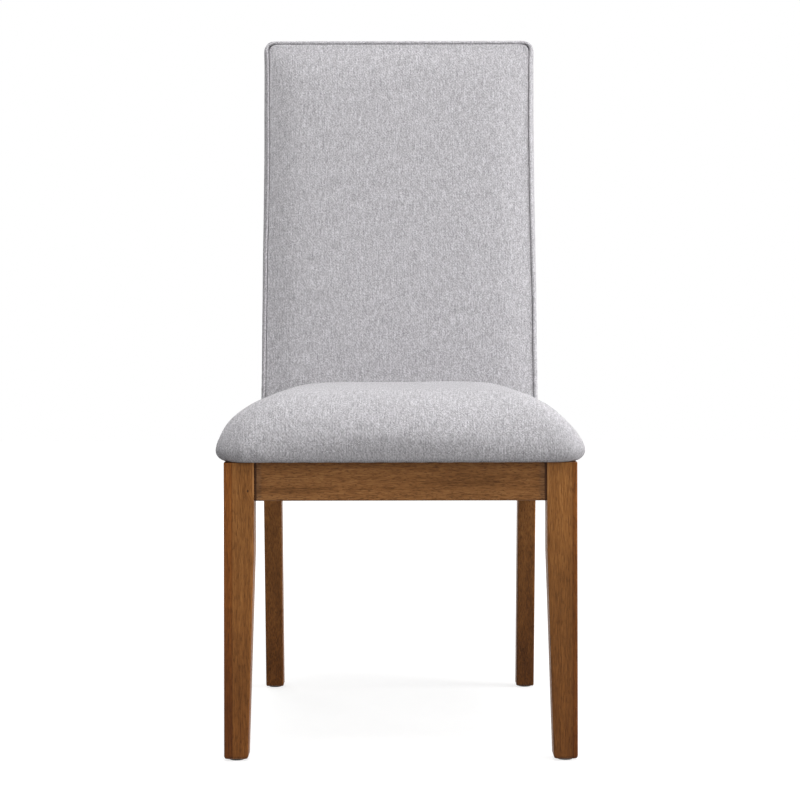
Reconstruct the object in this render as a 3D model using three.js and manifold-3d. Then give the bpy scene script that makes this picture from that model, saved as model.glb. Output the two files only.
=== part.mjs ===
// A parsons dining chair: a stained hardwood frame, an upholstered seat and a tall upholstered back.
// Millimetres, +Z up. The chair faces -Y, stands on z = 0, and its origin is under its middle.

import * as THREE from "three";
import { mergeVertices } from "three/addons/utils/BufferGeometryUtils.js";
import Module from "manifold-3d";

const wasm = await Module();
wasm.setup();

const degree = Math.PI / 180;
const quarterTurn = Math.PI / 2;

// The whole chair
const frontWidth = 460; // over the front legs
const rearWidth = 413.5; // over the rear posts, and over the back
const overallHeight = 998; // floor to the top of the back
const railTop = 388; // floor to the top of the aprons and front legs
const seatDepth = 416.5; // front of the legs to the face of the back, level with the rail top
const reclineAngle = 8.5 * degree; // lean of the back's face
const rakeAngle = 10.3 * degree; // slope of the rear legs

// Clearances
const seam = 0.3; // between pieces that lie against each other
const jointPlay = 0.3; // round a tenon in its mortise
const screwPlay = 0.4; // round a screw in its hole
const overrun = 40; // how far a cutting tool runs past what it cuts

// Aprons and their tenons
const apronHeight = 50;
const apronThickness = 21;
const apronRecess = 3; // behind the outer face of the legs
const apronEdge = 1.5; // eased lower edges
const tenonThickness = 10;
const tenonShoulder = 7; // above and below a tenon
const tenonLength = 20;

// Front legs: straight outside, tapered on the two inner faces
const legWidth = 39.5;
const legDepth = 44;
const legFootWidth = 31.5;
const legFootDepth = 33;
const legTaperDrop = 66; // straight length between the apron and the taper
const woodEdge = 2; // rounding along the edges
const footRound = 4; // rounding round the foot

// Rear posts: one piece from the floor to the top of the back
const postWidth = 27;
const postFootDepth = 33;
const postRailDepth = 45;
const postHeadDepth = 26;
const kneeRise = 36; // bend of the front face, over the rail top
const kneeBlend = 36; // length of the bend on each side
const rearKneeDrop = 25; // bend of the rear face, under the rail top
const rearKneeBlend = 20;
const shoulderRise = 2.7; // the post steps in here, and the back's cover begins

// Corner blocks
const blockHeight = 28;
const blockArm = 60; // along the front or rear apron, from the leg
const blockReach = 80; // along the side apron
const blockWing = 16; // thickness at the two ends

// Screws
const screwRadius = 2.1;
const screwHeadRadius = 4.2;
const screwHeadHeight = 2.6;
const screwHeadEdge = 0.9; // rounding of the head
const screwTip = 6;
const blockScrewLength = 34;
const blockScrewGrip = 18; // wood between the head and the apron
const blockScrewInset = 16; // from the end of the block
const seatScrewLength = 38;
const seatScrewAcross = 30; // from the leg's inner face
const seatScrewAlong = 34; // from the apron's inner face
const counterboreRadius = 5.2;

// Glides under the feet
const glideThickness = 2;
const glideRadius = 10;
const glideEdge = 0.6;
const glideNailRadius = 1.4;
const glideNailLength = 14;

// Fabric and seat
const fabric = 1.5; // thickness of the cover with its lining
const seatSideOverhang = 13;
const seatFrontOverhang = 10;
const seatCornerRadius = 35;
const seatWidestRise = 9.6; // widest line over the underside
const seatTuck = 10; // how far the underside is drawn in
const seatCrownRise = 86; // crown over the widest line
const seatCrest = 190; // crown's peak, behind the front of the legs
const seatRearRun = 308; // peak to where the crown would meet the widest line
const seatCrownPower = 3.9; // fullness of the crown
const seatLip = 35; // width of cover turned under the board
const boardThickness = 12;
const boardInset = 13; // board's edge, inside the widest line
const boardCornerRadius = 26;
const tongueHalf = 165; // rear tongue of the board, between the posts
const tongueRest = 14; // how far the tongue lies on the rear apron
const dustCoverThickness = 0.8;
const dustCoverGap = 1; // inside the cover's lip

// Back
const backCornerRadius = 15;
const weltRadius = 2.75;
const weltSet = 14.75; // piping's centre behind the face of the back
const rollWidth = 30; // rounded border of the front cover
const crownDepth = 3; // crown of the face inside that border
const backFoot = 8; // lower end of the front cover, along the slope
const foamThickness = 26;
const wadding = 1.9;
const webbingThickness = 1.5;
const webbingHeight = 50;
const webbingCount = 3; // straps, evenly spaced between the rails
const railDepth = 20;
const railHeight = 45;
const lowerRailFoot = 40; // along the slope
const backBoardThickness = 3;
const railTenonThickness = 8;
const railTenonLength = 15;

// Counts of steps along rounded shapes
const edgeSteps = 2;
const arcSteps = 5;
const crownSteps = 9;
const undersideSteps = 3;
const rollSteps = 4;
const crownShares = [0.25, 0.55, 0.85]; // rings between the roll and the middle of the face
const peakShare = 0.12; // last ring of the seat's crown
const faceSides = [4, 2]; // parts of the long and the short sides of the back's rings
const seatSides = [4, 4]; // the same, of the seat's rings
const screwSides = 12;
const glideSides = 20;
const weltSides = 8;
const cornerGrowthShare = 0.6; // corners of the crown's rings open up towards the middle
const cornerLimitShare = 0.9; // their most, of half the ring's width

// Places that follow from the sizes above
const railFoot = railTop - apronHeight;
const recline = Math.tan(reclineAngle);
const rake = Math.tan(rakeAngle);
const footHeight = glideThickness + seam;
const coverFoot = railTop + shoulderRise + seam;
const backHalf = rearWidth / 2;
const weltRear = weltSet + weltRadius;
const frameInset = fabric + wadding + 2 * seam; // frame's edge, inside the cover's
const foamBack = fabric + seam + foamThickness;
const postSet = foamBack + webbingThickness + 2 * seam; // front of the posts behind the face of the back
const backLength =
  (overallHeight - railTop + weltSet * Math.sin(reclineAngle)) / Math.cos(reclineAngle);
const frameTop = backLength - frameInset;

const legInner = frontWidth / 2 - legWidth;
const postInner = rearWidth / 2 - postWidth;

const upperPostFront = (z) =>
  seatDepth + postSet / Math.cos(reclineAngle) + recline * (z - railTop);
const kneeHeight = railTop + kneeRise;
const postFront = (z) => upperPostFront(kneeHeight) + rake * (kneeHeight - z);
const postRailFront = postFront(railTop);
const postRailBack = postRailFront + postRailDepth;
const headHeight =
  railTop - postSet * Math.sin(reclineAngle) + frameTop * Math.cos(reclineAngle);
const rearLean =
  (upperPostFront(headHeight) + postHeadDepth - postRailBack) / (headHeight - railTop);
const rearLeanAngle = Math.atan(rearLean);
const postFootBack = postFront(footHeight) + postFootDepth;

const sideTaper = (frontWidth - rearWidth) / 2 / (postRailFront - legDepth);
const apronOuter = (y) => frontWidth / 2 - apronRecess - sideTaper * (y - legDepth);
const apronInner = (y) => apronOuter(y) - apronThickness;
const frontApronBack = apronRecess + apronThickness;
const rearApronBack = postRailBack - apronRecess;
const rearApronFront = rearApronBack - apronThickness;
const tenonMiddle = railTop - apronHeight / 2;
const tenonHeight = apronHeight - 2 * tenonShoulder;

const coverBase = railTop + seam;
const boardFoot = coverBase + fabric + seam;
const boardTop = boardFoot + boardThickness;
const widestHeight = coverBase + seatWidestRise;
const seatHalf = frontWidth / 2 + seatSideOverhang;

const rearStack = 3 * seam + backBoardThickness + fabric;

// Frames of the back: x across, y square into the back from its face, z up along the slope
const backFrame = new THREE.Matrix4()
  .makeRotationX(-reclineAngle)
  .setPosition(0, seatDepth, railTop);
const intoBack = backFrame.clone().invert();
// The same, for the rear face of the posts
const rearFrame = new THREE.Matrix4()
  .makeRotationX(-rearLeanAngle)
  .setPosition(0, postRailBack, railTop);
const rearInBack = intoBack.clone().multiply(rearFrame);

// Depth of the chair at its rearmost place, the top of the rear cover
function rearReach() {
  const top = new THREE.Vector3(0, 0, backLength).applyMatrix4(backFrame);
  const slope = new THREE.Vector3(0, 1, 0).transformDirection(backFrame);
  const rearAt = (z) =>
    postRailBack + (rearStack - seam) / Math.cos(rearLeanAngle) + rearLean * (z - railTop);
  const along = (rearAt(top.z) - top.y) / (slope.y - rearLean * slope.z);
  return Math.max(top.y + slope.y * along, postFootBack);
}

// Geometry helpers

// Turns a geometry's faces outwards
function facingOut(geometry) {
  const index = geometry.index.array;
  const at = (i) => new THREE.Vector3().fromBufferAttribute(geometry.attributes.position, index[i]);
  let volume = 0;
  for (let i = 0; i < index.length; i += 3) {
    volume += at(i).dot(at(i + 1).cross(at(i + 2)));
  }
  if (volume < 0) {
    geometry.setIndex(Array.from(index).reverse());
  }
  return geometry;
}

// A closed body through rings of equally many points, with its two ends closed
function loft(rings) {
  const count = rings[0].length;
  const points = rings.flat();
  const index = [];
  for (let r = 0; r < rings.length - 1; r += 1) {
    for (let i = 0; i < count; i += 1) {
      const a = r * count + i;
      const b = r * count + ((i + 1) % count);
      index.push(a, b, b + count, a, b + count, a + count);
    }
  }
  [rings[0], rings.at(-1)].forEach((ring, end) => {
    const middle = points.length;
    const centre = ring.reduce((sum, p) => sum.add(p), new THREE.Vector3());
    points.push(centre.divideScalar(count));
    const first = end ? (rings.length - 1) * count : 0;
    for (let i = 0; i < count; i += 1) {
      const pair = [first + i, first + ((i + 1) % count)];
      index.push(middle, ...(end ? pair : pair.reverse()));
    }
  });
  return facingOut(new THREE.BufferGeometry().setFromPoints(points).setIndex(index));
}

// Points round a rectangle with rounded corners, with each side divided
function roundedRectangle(left, right, low, high, radius, arcs, sides = [1, 1]) {
  const corners = [
    [right - radius, low + radius, -quarterTurn],
    [right - radius, high - radius, 0],
    [left + radius, high - radius, quarterTurn],
    [left + radius, low + radius, 2 * quarterTurn],
  ];
  const arcsRound = corners.map(([x, y, start]) =>
    Array.from({ length: arcs + 1 }, (_, i) => {
      const angle = start + (i / arcs) * quarterTurn;
      return new THREE.Vector2(x + radius * Math.cos(angle), y + radius * Math.sin(angle));
    }),
  );
  const outline = [];
  arcsRound.forEach((arc, c) => {
    outline.push(...arc);
    const steps = sides[c % 2];
    const next = arcsRound[(c + 1) % 4][0];
    for (let i = 1; i < steps; i += 1) {
      outline.push(arc.at(-1).clone().lerp(next, i / steps));
    }
  });
  return outline;
}

// A shape through corners given as [x, y, blend], where blend is how far a curve takes off the corner
function cornerShape(corners) {
  const shape = new THREE.Shape();
  corners.forEach(([x, y, blend = 0], i) => {
    const corner = new THREE.Vector2(x, y);
    const towards = (other) =>
      new THREE.Vector2(other[0], other[1]).sub(corner).setLength(blend).add(corner);
    const enter = towards(corners.at(i - 1));
    const leave = towards(corners[(i + 1) % corners.length]);
    if (i === 0) {
      shape.moveTo(enter.x, enter.y);
    } else {
      shape.lineTo(enter.x, enter.y);
    }
    if (blend > 0) {
      shape.quadraticCurveTo(corner.x, corner.y, leave.x, leave.y);
    }
  });
  shape.closePath();
  return shape;
}

// A solid for joining and cutting, moved by a matrix if one is given
function solidOf(geometry, matrix = new THREE.Matrix4()) {
  const bare = geometry.clone().applyMatrix4(matrix);
  bare.deleteAttribute("normal");
  bare.deleteAttribute("uv");
  const merged = mergeVertices(bare);
  return new wasm.Manifold(
    new wasm.Mesh({
      numProp: 3,
      vertProperties: new Float32Array(merged.attributes.position.array),
      triVerts: new Uint32Array(merged.index.array),
    }),
  );
}

function geometryOf(solid) {
  const mesh = solid.getMesh();
  const geometry = new THREE.BufferGeometry();
  geometry.setAttribute("position", new THREE.BufferAttribute(mesh.vertProperties, 3));
  geometry.setIndex(new THREE.BufferAttribute(mesh.triVerts, 1));
  return geometry;
}

// A box between two corners
function boxBetween(low, high, matrix) {
  const size = new THREE.Vector3().subVectors(high, low);
  const middle = new THREE.Vector3().addVectors(low, high).multiplyScalar(0.5);
  const box = new THREE.BoxGeometry(size.x, size.y, size.z);
  return solidOf(box.translate(middle.x, middle.y, middle.z), matrix);
}

// A round hole that starts at a point and runs along a direction
function drill(start, direction, length, radius) {
  const cylinder = new THREE.CylinderGeometry(radius, radius, length, screwSides);
  cylinder.translate(0, length / 2, 0);
  const turn = new THREE.Quaternion().setFromUnitVectors(new THREE.Vector3(0, 1, 0), direction);
  cylinder.applyQuaternion(turn);
  return solidOf(cylinder.translate(start.x, start.y, start.z));
}

// Materials
const finish = (color, roughness, metalness = 0) =>
  new THREE.MeshStandardMaterial({ color, roughness, metalness });
const stainedWood = finish(0x7c512d, 0.45);
const bareWood = finish(0xc9a878, 0.7);
const plywood = finish(0xc2a479, 0.7);
const fibreboard = finish(0x8a6b4a, 0.8);
const greyFabric = finish(0xbab8bc, 0.95);
const foamYellow = finish(0xe6dcb4, 0.95);
const waddingWhite = finish(0xefeeea, 0.95);
const webbingBlack = finish(0x2a2a2c, 0.9);
const cambric = finish(0x1f1f21, 0.9);
const zincSteel = finish(0xb9bcc0, 0.35, 1);
const nylon = finish(0x3a3026, 0.5);

const chair = new THREE.Group();
const back = new THREE.Group();
back.applyMatrix4(backFrame);
chair.add(back);

function addPiece(name, geometry, material, parent = chair) {
  const mesh = new THREE.Mesh(geometry, material.clone());
  mesh.name = name;
  parent.add(mesh);
  return mesh;
}

// Left is -x and right is +x, as seen from the front
const sides = [
  ["left", -1],
  ["right", 1],
];

// Tenons. The same box, grown by the play, cuts the mortise.

function tenonBox(low, high, play) {
  const grow = new THREE.Vector3(play, play, play);
  return boxBetween(low.clone().sub(grow), high.clone().add(grow));
}

// Tenon of the front or rear apron, along x, from inside the apron to its end in the leg
function crossTenon(side, inner, middleY, play = 0) {
  const near = side * (inner - tenonLength);
  const far = side * (inner + tenonLength);
  const low = new THREE.Vector3(
    Math.min(near, far),
    middleY - tenonThickness / 2,
    tenonMiddle - tenonHeight / 2,
  );
  const high = new THREE.Vector3(
    Math.max(near, far),
    middleY + tenonThickness / 2,
    tenonMiddle + tenonHeight / 2,
  );
  return tenonBox(low, high, play);
}

const frontTenon = (side, play) =>
  crossTenon(side, legInner, apronRecess + apronThickness / 2, play);
const rearTenon = (side, play) =>
  crossTenon(side, postInner, rearApronFront + apronThickness / 2, play);

// Tenon of a side apron, along y, round the face of the leg at a given depth
function sideTenon(side, faceY, play = 0) {
  const middleX = side * (apronOuter(faceY) - apronThickness / 2);
  const low = new THREE.Vector3(
    middleX - tenonThickness / 2,
    faceY - tenonLength,
    tenonMiddle - tenonHeight / 2,
  );
  const high = new THREE.Vector3(
    middleX + tenonThickness / 2,
    faceY + tenonLength,
    tenonMiddle + tenonHeight / 2,
  );
  return tenonBox(low, high, play);
}

// Glides

function glideGeometry() {
  const profile = [
    new THREE.Vector2(0, 0),
    new THREE.Vector2(glideRadius - glideEdge, 0),
    new THREE.Vector2(glideRadius, glideEdge),
    new THREE.Vector2(glideRadius, glideThickness),
    new THREE.Vector2(glideNailRadius, glideThickness),
    new THREE.Vector2(glideNailRadius, glideNailLength - glideNailRadius),
    new THREE.Vector2(0, glideNailLength),
  ];
  return new THREE.LatheGeometry(profile, glideSides).rotateX(quarterTurn);
}

const nailHole = (x, y) =>
  drill(
    new THREE.Vector3(x, y, 0),
    new THREE.Vector3(0, 0, 1),
    glideNailLength + seam,
    glideNailRadius + screwPlay,
  );

// Front legs

// Ring of a leg's section at a height, drawn in by an inset
function legRing(side, z, inset) {
  const start = railFoot - legTaperDrop;
  const share = Math.max(0, (start - z) / (start - footHeight));
  const width = THREE.MathUtils.lerp(legWidth, legFootWidth, share);
  const depth = THREE.MathUtils.lerp(legDepth, legFootDepth, share);
  const outer = frontWidth / 2 - inset;
  const inner = frontWidth / 2 - width + inset;
  return roundedRectangle(inner, outer, inset, depth - inset, woodEdge, edgeSteps).map(
    (p) => new THREE.Vector3(side * p.x, p.y, z),
  );
}

function legGeometry(side) {
  const rings = [];
  for (let i = 0; i <= edgeSteps; i += 1) {
    const angle = (i / edgeSteps) * quarterTurn;
    const rise = footRound * (1 - Math.cos(angle));
    const inset = footRound * (1 - Math.sin(angle));
    rings.push(legRing(side, footHeight + rise, inset));
  }
  rings.push(legRing(side, railFoot - legTaperDrop, 0));
  rings.push(legRing(side, railTop, 0));
  return loft(rings);
}

const frontGlideX = frontWidth / 2 - legFootWidth / 2;
const frontGlideY = legFootDepth / 2;

function addFrontLeg(word, side) {
  const leg = solidOf(legGeometry(side))
    .subtract(frontTenon(side, jointPlay))
    .subtract(sideTenon(side, legDepth, jointPlay))
    .subtract(nailHole(side * frontGlideX, frontGlideY));
  addPiece(`front_leg_${word}`, geometryOf(leg), stainedWood);
}

// Rear posts

// Prism of the back's outline, drawn in by an inset, in the back's own frame
function backPrism(inset) {
  const half = backHalf - inset;
  const radius = backCornerRadius - inset;
  const outline = roundedRectangle(-half, half, -overrun, backLength - inset, radius, arcSteps);
  const ring = (y) => outline.map((p) => new THREE.Vector3(p.x, y, p.y));
  return solidOf(loft([ring(-overrun), ring(postSet + postRailDepth + overrun)]));
}

// Everything beyond the back's prism and above the shoulder, to cut a post to its upper shape
function shoulderCutter() {
  const low = new THREE.Vector3(-rearWidth, 0, railTop + shoulderRise);
  const high = new THREE.Vector3(rearWidth, 2 * seatDepth, overallHeight + 2 * overrun);
  const around = boxBetween(low, high);
  return around.subtract(backPrism(frameInset).transform(backFrame.elements));
}

function postGeometry() {
  const rearKneeHeight = railTop - rearKneeDrop;
  const top = overallHeight + overrun;
  const rearAt = (z) => postRailBack + rearLean * (z - railTop);
  const shape = cornerShape([
    [postFront(footHeight), footHeight, footRound],
    [postFootBack, footHeight, footRound],
    [rearAt(rearKneeHeight), rearKneeHeight, rearKneeBlend],
    [rearAt(top), top],
    [upperPostFront(top), top],
    [upperPostFront(kneeHeight), kneeHeight, kneeBlend],
  ]);
  const extruded = new THREE.ExtrudeGeometry(shape, {
    depth: postWidth - 2 * woodEdge,
    bevelThickness: woodEdge,
    bevelSize: woodEdge,
    bevelOffset: -woodEdge,
    bevelSegments: edgeSteps,
    curveSegments: arcSteps,
  });
  // Drawn in (y, z) and extruded along x
  const upright = new THREE.Matrix4().makeBasis(
    new THREE.Vector3(0, 1, 0),
    new THREE.Vector3(0, 0, 1),
    new THREE.Vector3(1, 0, 0),
  );
  return extruded.translate(0, 0, woodEdge - postWidth / 2).applyMatrix4(upright);
}

const postMiddle = postInner + postWidth / 2;
const rearGlideY = postFront(footHeight) + postFootDepth / 2;

function addRearPost(word, side) {
  const place = new THREE.Matrix4().makeTranslation(side * postMiddle, 0, 0);
  const post = solidOf(postGeometry(), place)
    .subtract(shoulderCutter())
    .subtract(rearTenon(side, jointPlay))
    .subtract(sideTenon(side, postRailFront, jointPlay))
    .subtract(railTenon(side, lowerRailFoot, jointPlay).transform(backFrame.elements))
    .subtract(railTenon(side, frameTop - railHeight, jointPlay).transform(backFrame.elements))
    .subtract(nailHole(side * postMiddle, rearGlideY));
  addPiece(`rear_post_${word}`, geometryOf(post), stainedWood);
}

// Aprons

function crossApronGeometry(half, frontY) {
  const rearY = frontY + apronThickness;
  const ring = (x) =>
    [
      [frontY, railTop],
      [frontY, railFoot + apronEdge],
      [frontY + apronEdge, railFoot],
      [rearY - apronEdge, railFoot],
      [rearY, railFoot + apronEdge],
      [rearY, railTop],
    ].map(([y, z]) => new THREE.Vector3(x, y, z));
  return loft([ring(-half), ring(half)]);
}

function crossApron(name, inner, frontY, tenon) {
  const apron = solidOf(crossApronGeometry(inner - seam, frontY)).add(tenon(-1)).add(tenon(1));
  return { name, solid: apron };
}

function sideApronGeometry(side) {
  const ring = (depthAt) =>
    [
      [0, railTop],
      [0, railFoot + apronEdge],
      [apronEdge, railFoot],
      [apronThickness - apronEdge, railFoot],
      [apronThickness, railFoot + apronEdge],
      [apronThickness, railTop],
    ].map(([inset, z]) => {
      const y = depthAt(z);
      return new THREE.Vector3(side * (apronOuter(y) - inset), y, z);
    });
  return loft([ring(() => legDepth + seam), ring((z) => postFront(z) - seam)]);
}

function sideApron(word, side) {
  const apron = solidOf(sideApronGeometry(side))
    .add(sideTenon(side, legDepth))
    .add(sideTenon(side, postRailFront));
  return { name: `side_apron_${word}`, solid: apron };
}

// Corner blocks and their screws

// The four corners: face is the apron's inner face, leg is the inner face of the leg or post,
// notch is where the leg ends, and inward is the direction along y from the apron to the middle
const corners = sides.flatMap(([word, side]) => [
  {
    word: `front_${word}`,
    side,
    inward: 1,
    face: frontApronBack,
    leg: legInner,
    notch: legDepth,
    cross: "front_apron",
    flank: `side_apron_${word}`,
  },
  {
    word: `rear_${word}`,
    side,
    inward: -1,
    face: rearApronFront,
    leg: postInner,
    notch: postRailFront,
    cross: "rear_apron",
    flank: `side_apron_${word}`,
  },
]);

function blockGeometry({ side, inward, face, leg, notch }) {
  const near = face + inward * seam;
  const step = notch + inward * seam;
  const far = near + inward * blockReach;
  const edge = (y) => apronInner(y) - seam;
  const end = leg - seam - blockArm;
  const outline = [
    [end, near],
    [leg - seam, near],
    [leg - seam, step],
    [edge(step), step],
    [edge(far), far],
    [edge(far) - blockWing, far],
    [end, near + inward * blockWing],
  ].map(([x, y]) => new THREE.Vector2(side * x, y));
  const block = new THREE.ExtrudeGeometry(new THREE.Shape(outline), {
    depth: blockHeight,
    bevelEnabled: false,
  });
  return block.translate(0, 0, railTop - blockHeight);
}

function screwGeometry(length) {
  const profile = [
    new THREE.Vector2(0, -length),
    new THREE.Vector2(screwRadius, screwTip - length),
    new THREE.Vector2(screwRadius, 0),
    new THREE.Vector2(screwHeadRadius, 0),
    new THREE.Vector2(screwHeadRadius, screwHeadHeight - screwHeadEdge),
    new THREE.Vector2(screwHeadRadius - screwHeadEdge, screwHeadHeight),
    new THREE.Vector2(0, screwHeadHeight),
  ];
  return new THREE.LatheGeometry(profile, screwSides);
}

// The three screws of a corner: the place under the head, the way the head faces, and the length
function cornerScrews({ word, side, inward, face, leg }) {
  const near = face + inward * seam;
  const blockMiddle = railTop - blockHeight / 2;
  const crossX = leg - seam - blockArm + blockScrewInset;
  const flankY = near + inward * (blockReach - blockScrewInset);
  return {
    cross: {
      name: `block_screw_${word}_cross`,
      seat: new THREE.Vector3(side * crossX, near + inward * blockScrewGrip, blockMiddle),
      faces: new THREE.Vector3(0, inward, 0),
      length: blockScrewLength,
    },
    flank: {
      name: `block_screw_${word}_side`,
      seat: new THREE.Vector3(
        side * (apronInner(flankY) - seam - blockScrewGrip),
        flankY,
        blockMiddle,
      ),
      faces: new THREE.Vector3(-side, 0, 0),
      length: blockScrewLength,
    },
    seat: {
      name: `seat_screw_${word}`,
      seat: new THREE.Vector3(
        side * (leg - seam - seatScrewAcross),
        near + inward * seatScrewAlong,
        railTop - blockHeight - seam,
      ),
      faces: new THREE.Vector3(0, 0, -1),
      length: seatScrewLength,
    },
  };
}

// The hole of a screw's shank, with the play past its tip
function shankHole({ seat, faces, length }) {
  return drill(seat, faces.clone().negate(), length + seam, screwRadius + screwPlay);
}

// The hole that lets a screw's head into a block, from the play under the head outwards
function counterbore({ seat, faces }) {
  const start = seat.clone().addScaledVector(faces, -seam);
  return drill(start, faces, blockReach, counterboreRadius);
}

function addScrew({ name, seat, faces, length }) {
  const screw = addPiece(name, screwGeometry(length), zincSteel);
  screw.quaternion.setFromUnitVectors(new THREE.Vector3(0, 1, 0), faces);
  screw.position.copy(seat);
}

// Rails of the back, between the posts, in the back's own frame

function railTenon(side, foot, play = 0) {
  const near = side * (postInner - railTenonLength);
  const far = side * (postInner + railTenonLength);
  const middle = postSet + railDepth / 2;
  const low = new THREE.Vector3(
    Math.min(near, far),
    middle - railTenonThickness / 2,
    foot + tenonShoulder,
  );
  const high = new THREE.Vector3(
    Math.max(near, far),
    middle + railTenonThickness / 2,
    foot + railHeight - tenonShoulder,
  );
  return tenonBox(low, high, play);
}

function addBackRail(name, foot) {
  const half = postInner - seam;
  const low = new THREE.Vector3(-half, postSet, foot);
  const high = new THREE.Vector3(half, postSet + railDepth, foot + railHeight);
  const rail = boxBetween(low, high).add(railTenon(-1, foot)).add(railTenon(1, foot));
  addPiece(name, geometryOf(rail), bareWood, back);
}

// Upholstery of the back

// Outline of the front cover, drawn in by an inset; its corners open up by a share of the draw
function frontOutline(inset, draw) {
  const start = 2 * weltRadius + seam + inset;
  const half = backHalf - start - draw;
  const opened = backCornerRadius - start + cornerGrowthShare * draw;
  const radius = Math.min(opened, cornerLimitShare * half);
  const low = backFoot + inset + draw;
  const high = backLength - start - draw;
  return roundedRectangle(-half, half, low, high, radius, arcSteps, faceSides);
}

// Rings of the crowned face: a rounded border, then a slight crown to the middle
function faceRings(inset) {
  const rings = [];
  const edge = weltSet - crownDepth;
  const ringAt = (draw, depth) => {
    const outline = frontOutline(inset, draw);
    rings.push(outline.map((p) => new THREE.Vector3(p.x, depth, p.y)));
  };
  for (let i = 0; i <= rollSteps; i += 1) {
    const angle = (i / rollSteps) * quarterTurn;
    const draw = (rollWidth - inset) * (1 - Math.cos(angle));
    ringAt(draw, inset + crownDepth + (edge - inset) * (1 - Math.sin(angle)));
  }
  const middle = backHalf - 2 * weltRadius - seam - rollWidth;
  crownShares.forEach((share) => {
    ringAt(rollWidth - inset + share * middle, inset + crownDepth * (1 - share) ** 2);
  });
  return rings;
}

function straightRing(outline, depth) {
  return outline.map((p) => new THREE.Vector3(p.x, depth, p.y));
}

// The space that the board's tongue passes through, in the back's own frame
function tongueSpace() {
  const low = new THREE.Vector3(-tongueHalf - seam, seatDepth - overrun, railTop - overrun);
  const high = new THREE.Vector3(tongueHalf + seam, rearApronBack, boardTop + seam);
  return boxBetween(low, high, intoBack);
}

function addFrontCover() {
  const outerRim = straightRing(frontOutline(0, 0), weltRear);
  const innerRim = straightRing(frontOutline(fabric, 0), weltRear + overrun);
  const outer = solidOf(loft([outerRim, ...faceRings(0)]));
  const inner = solidOf(loft([innerRim, ...faceRings(fabric)]));
  const cover = outer.subtract(inner).subtract(tongueSpace());
  addPiece("back_front_cover", geometryOf(cover), greyFabric, back);
}

// A crown in front of a slab, whose edge passes behind the piping
function addBackFoam() {
  const inset = fabric + seam;
  const base = roundedRectangle(
    inset - backHalf,
    backHalf - inset,
    backFoot + inset,
    backLength - inset,
    backCornerRadius - inset,
    arcSteps,
    faceSides,
  );
  const slab = loft([straightRing(base, foamBack), straightRing(base, weltRear + seam)]);
  const crown = loft([straightRing(frontOutline(inset, 0), foamBack), ...faceRings(inset)]);
  const foam = solidOf(slab).add(solidOf(crown)).subtract(tongueSpace());
  addPiece("back_foam", geometryOf(foam), foamYellow, back);
}

// Everything behind a plane that lies a given distance behind the posts' rear face
function behindPosts(distance) {
  const wide = 2 * rearWidth;
  const low = new THREE.Vector3(-wide, distance, -overallHeight);
  const high = new THREE.Vector3(wide, distance + wide, 2 * overallHeight);
  return boxBetween(low, high, rearInBack);
}

// Everything below a height over the floor
function belowHeight(z) {
  const wide = 2 * rearWidth;
  const low = new THREE.Vector3(-wide, seatDepth - wide, -overallHeight);
  const high = new THREE.Vector3(wide, seatDepth + wide, z);
  return boxBetween(low, high, intoBack);
}

// Everything in front of a plane parallel to the back's face
function beforeFace(distance) {
  const wide = 2 * rearWidth;
  const low = new THREE.Vector3(-wide, distance - wide, -overallHeight);
  const high = new THREE.Vector3(wide, distance, 2 * overallHeight);
  return boxBetween(low, high);
}

function addBoxing() {
  const boxing = backPrism(0)
    .subtract(backPrism(fabric))
    .subtract(beforeFace(weltRear + seam))
    .subtract(behindPosts(rearStack - seam))
    .subtract(belowHeight(coverFoot));
  addPiece("back_boxing", geometryOf(boxing), greyFabric, back);
}

function addWadding() {
  const inset = fabric + seam;
  const strip = backPrism(inset)
    .subtract(backPrism(inset + wadding))
    .subtract(beforeFace(foamBack + seam))
    .subtract(behindPosts(0))
    .subtract(belowHeight(coverFoot));
  addPiece("back_wadding", geometryOf(strip), waddingWhite, back);
}

// A sheet behind the posts, between two distances from their rear face
function rearSheet(inset, near, far) {
  const beyond = behindPosts(far);
  const sheet = backPrism(inset).intersect(behindPosts(near)).subtract(beyond);
  return sheet.subtract(belowHeight(coverFoot));
}

function addRearPanels() {
  const boardBack = seam + backBoardThickness;
  const board = rearSheet(frameInset, seam, boardBack);
  addPiece("back_board", geometryOf(board), fibreboard, back);
  const cover = rearSheet(fabric + seam, boardBack + seam, boardBack + seam + fabric);
  addPiece("back_rear_cover", geometryOf(cover), greyFabric, back);
}

// The piping's centre line: up one side, over the top and down the other, by stations
class PipingPath extends THREE.Curve {
  constructor() {
    super();
    const half = backHalf - weltRadius;
    const outline = roundedRectangle(
      -half,
      half,
      backFoot,
      backLength - weltRadius,
      backCornerRadius - weltRadius,
      arcSteps,
    );
    // The two upper corners are the second and third of the outline's four arcs
    const arcPoints = arcSteps + 1;
    const over = outline.slice(arcPoints, 3 * arcPoints);
    const foot = (x) => new THREE.Vector2(x, backFoot);
    this.stations = [foot(half), ...over, foot(-half)];
  }

  getPoint(t) {
    const last = this.stations.length - 1;
    const at = Math.min(t * last, last);
    const index = Math.min(Math.floor(at), last - 1);
    const point = this.stations[index].clone().lerp(this.stations[index + 1], at - index);
    return new THREE.Vector3(point.x, weltSet, point.y);
  }

  getTangent(t) {
    const last = this.stations.length - 1;
    const index = Math.round(t * last);
    const direction = (a, b) => new THREE.Vector2().subVectors(b, a).normalize();
    const here = this.stations[index];
    const before = direction(this.stations[Math.max(index - 1, 0)], here);
    const after = direction(here, this.stations[Math.min(index + 1, last)]);
    const along = before.add(after).normalize();
    return new THREE.Vector3(along.x, 0, along.y);
  }

  getUtoTmapping(u) {
    return u;
  }
}

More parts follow.
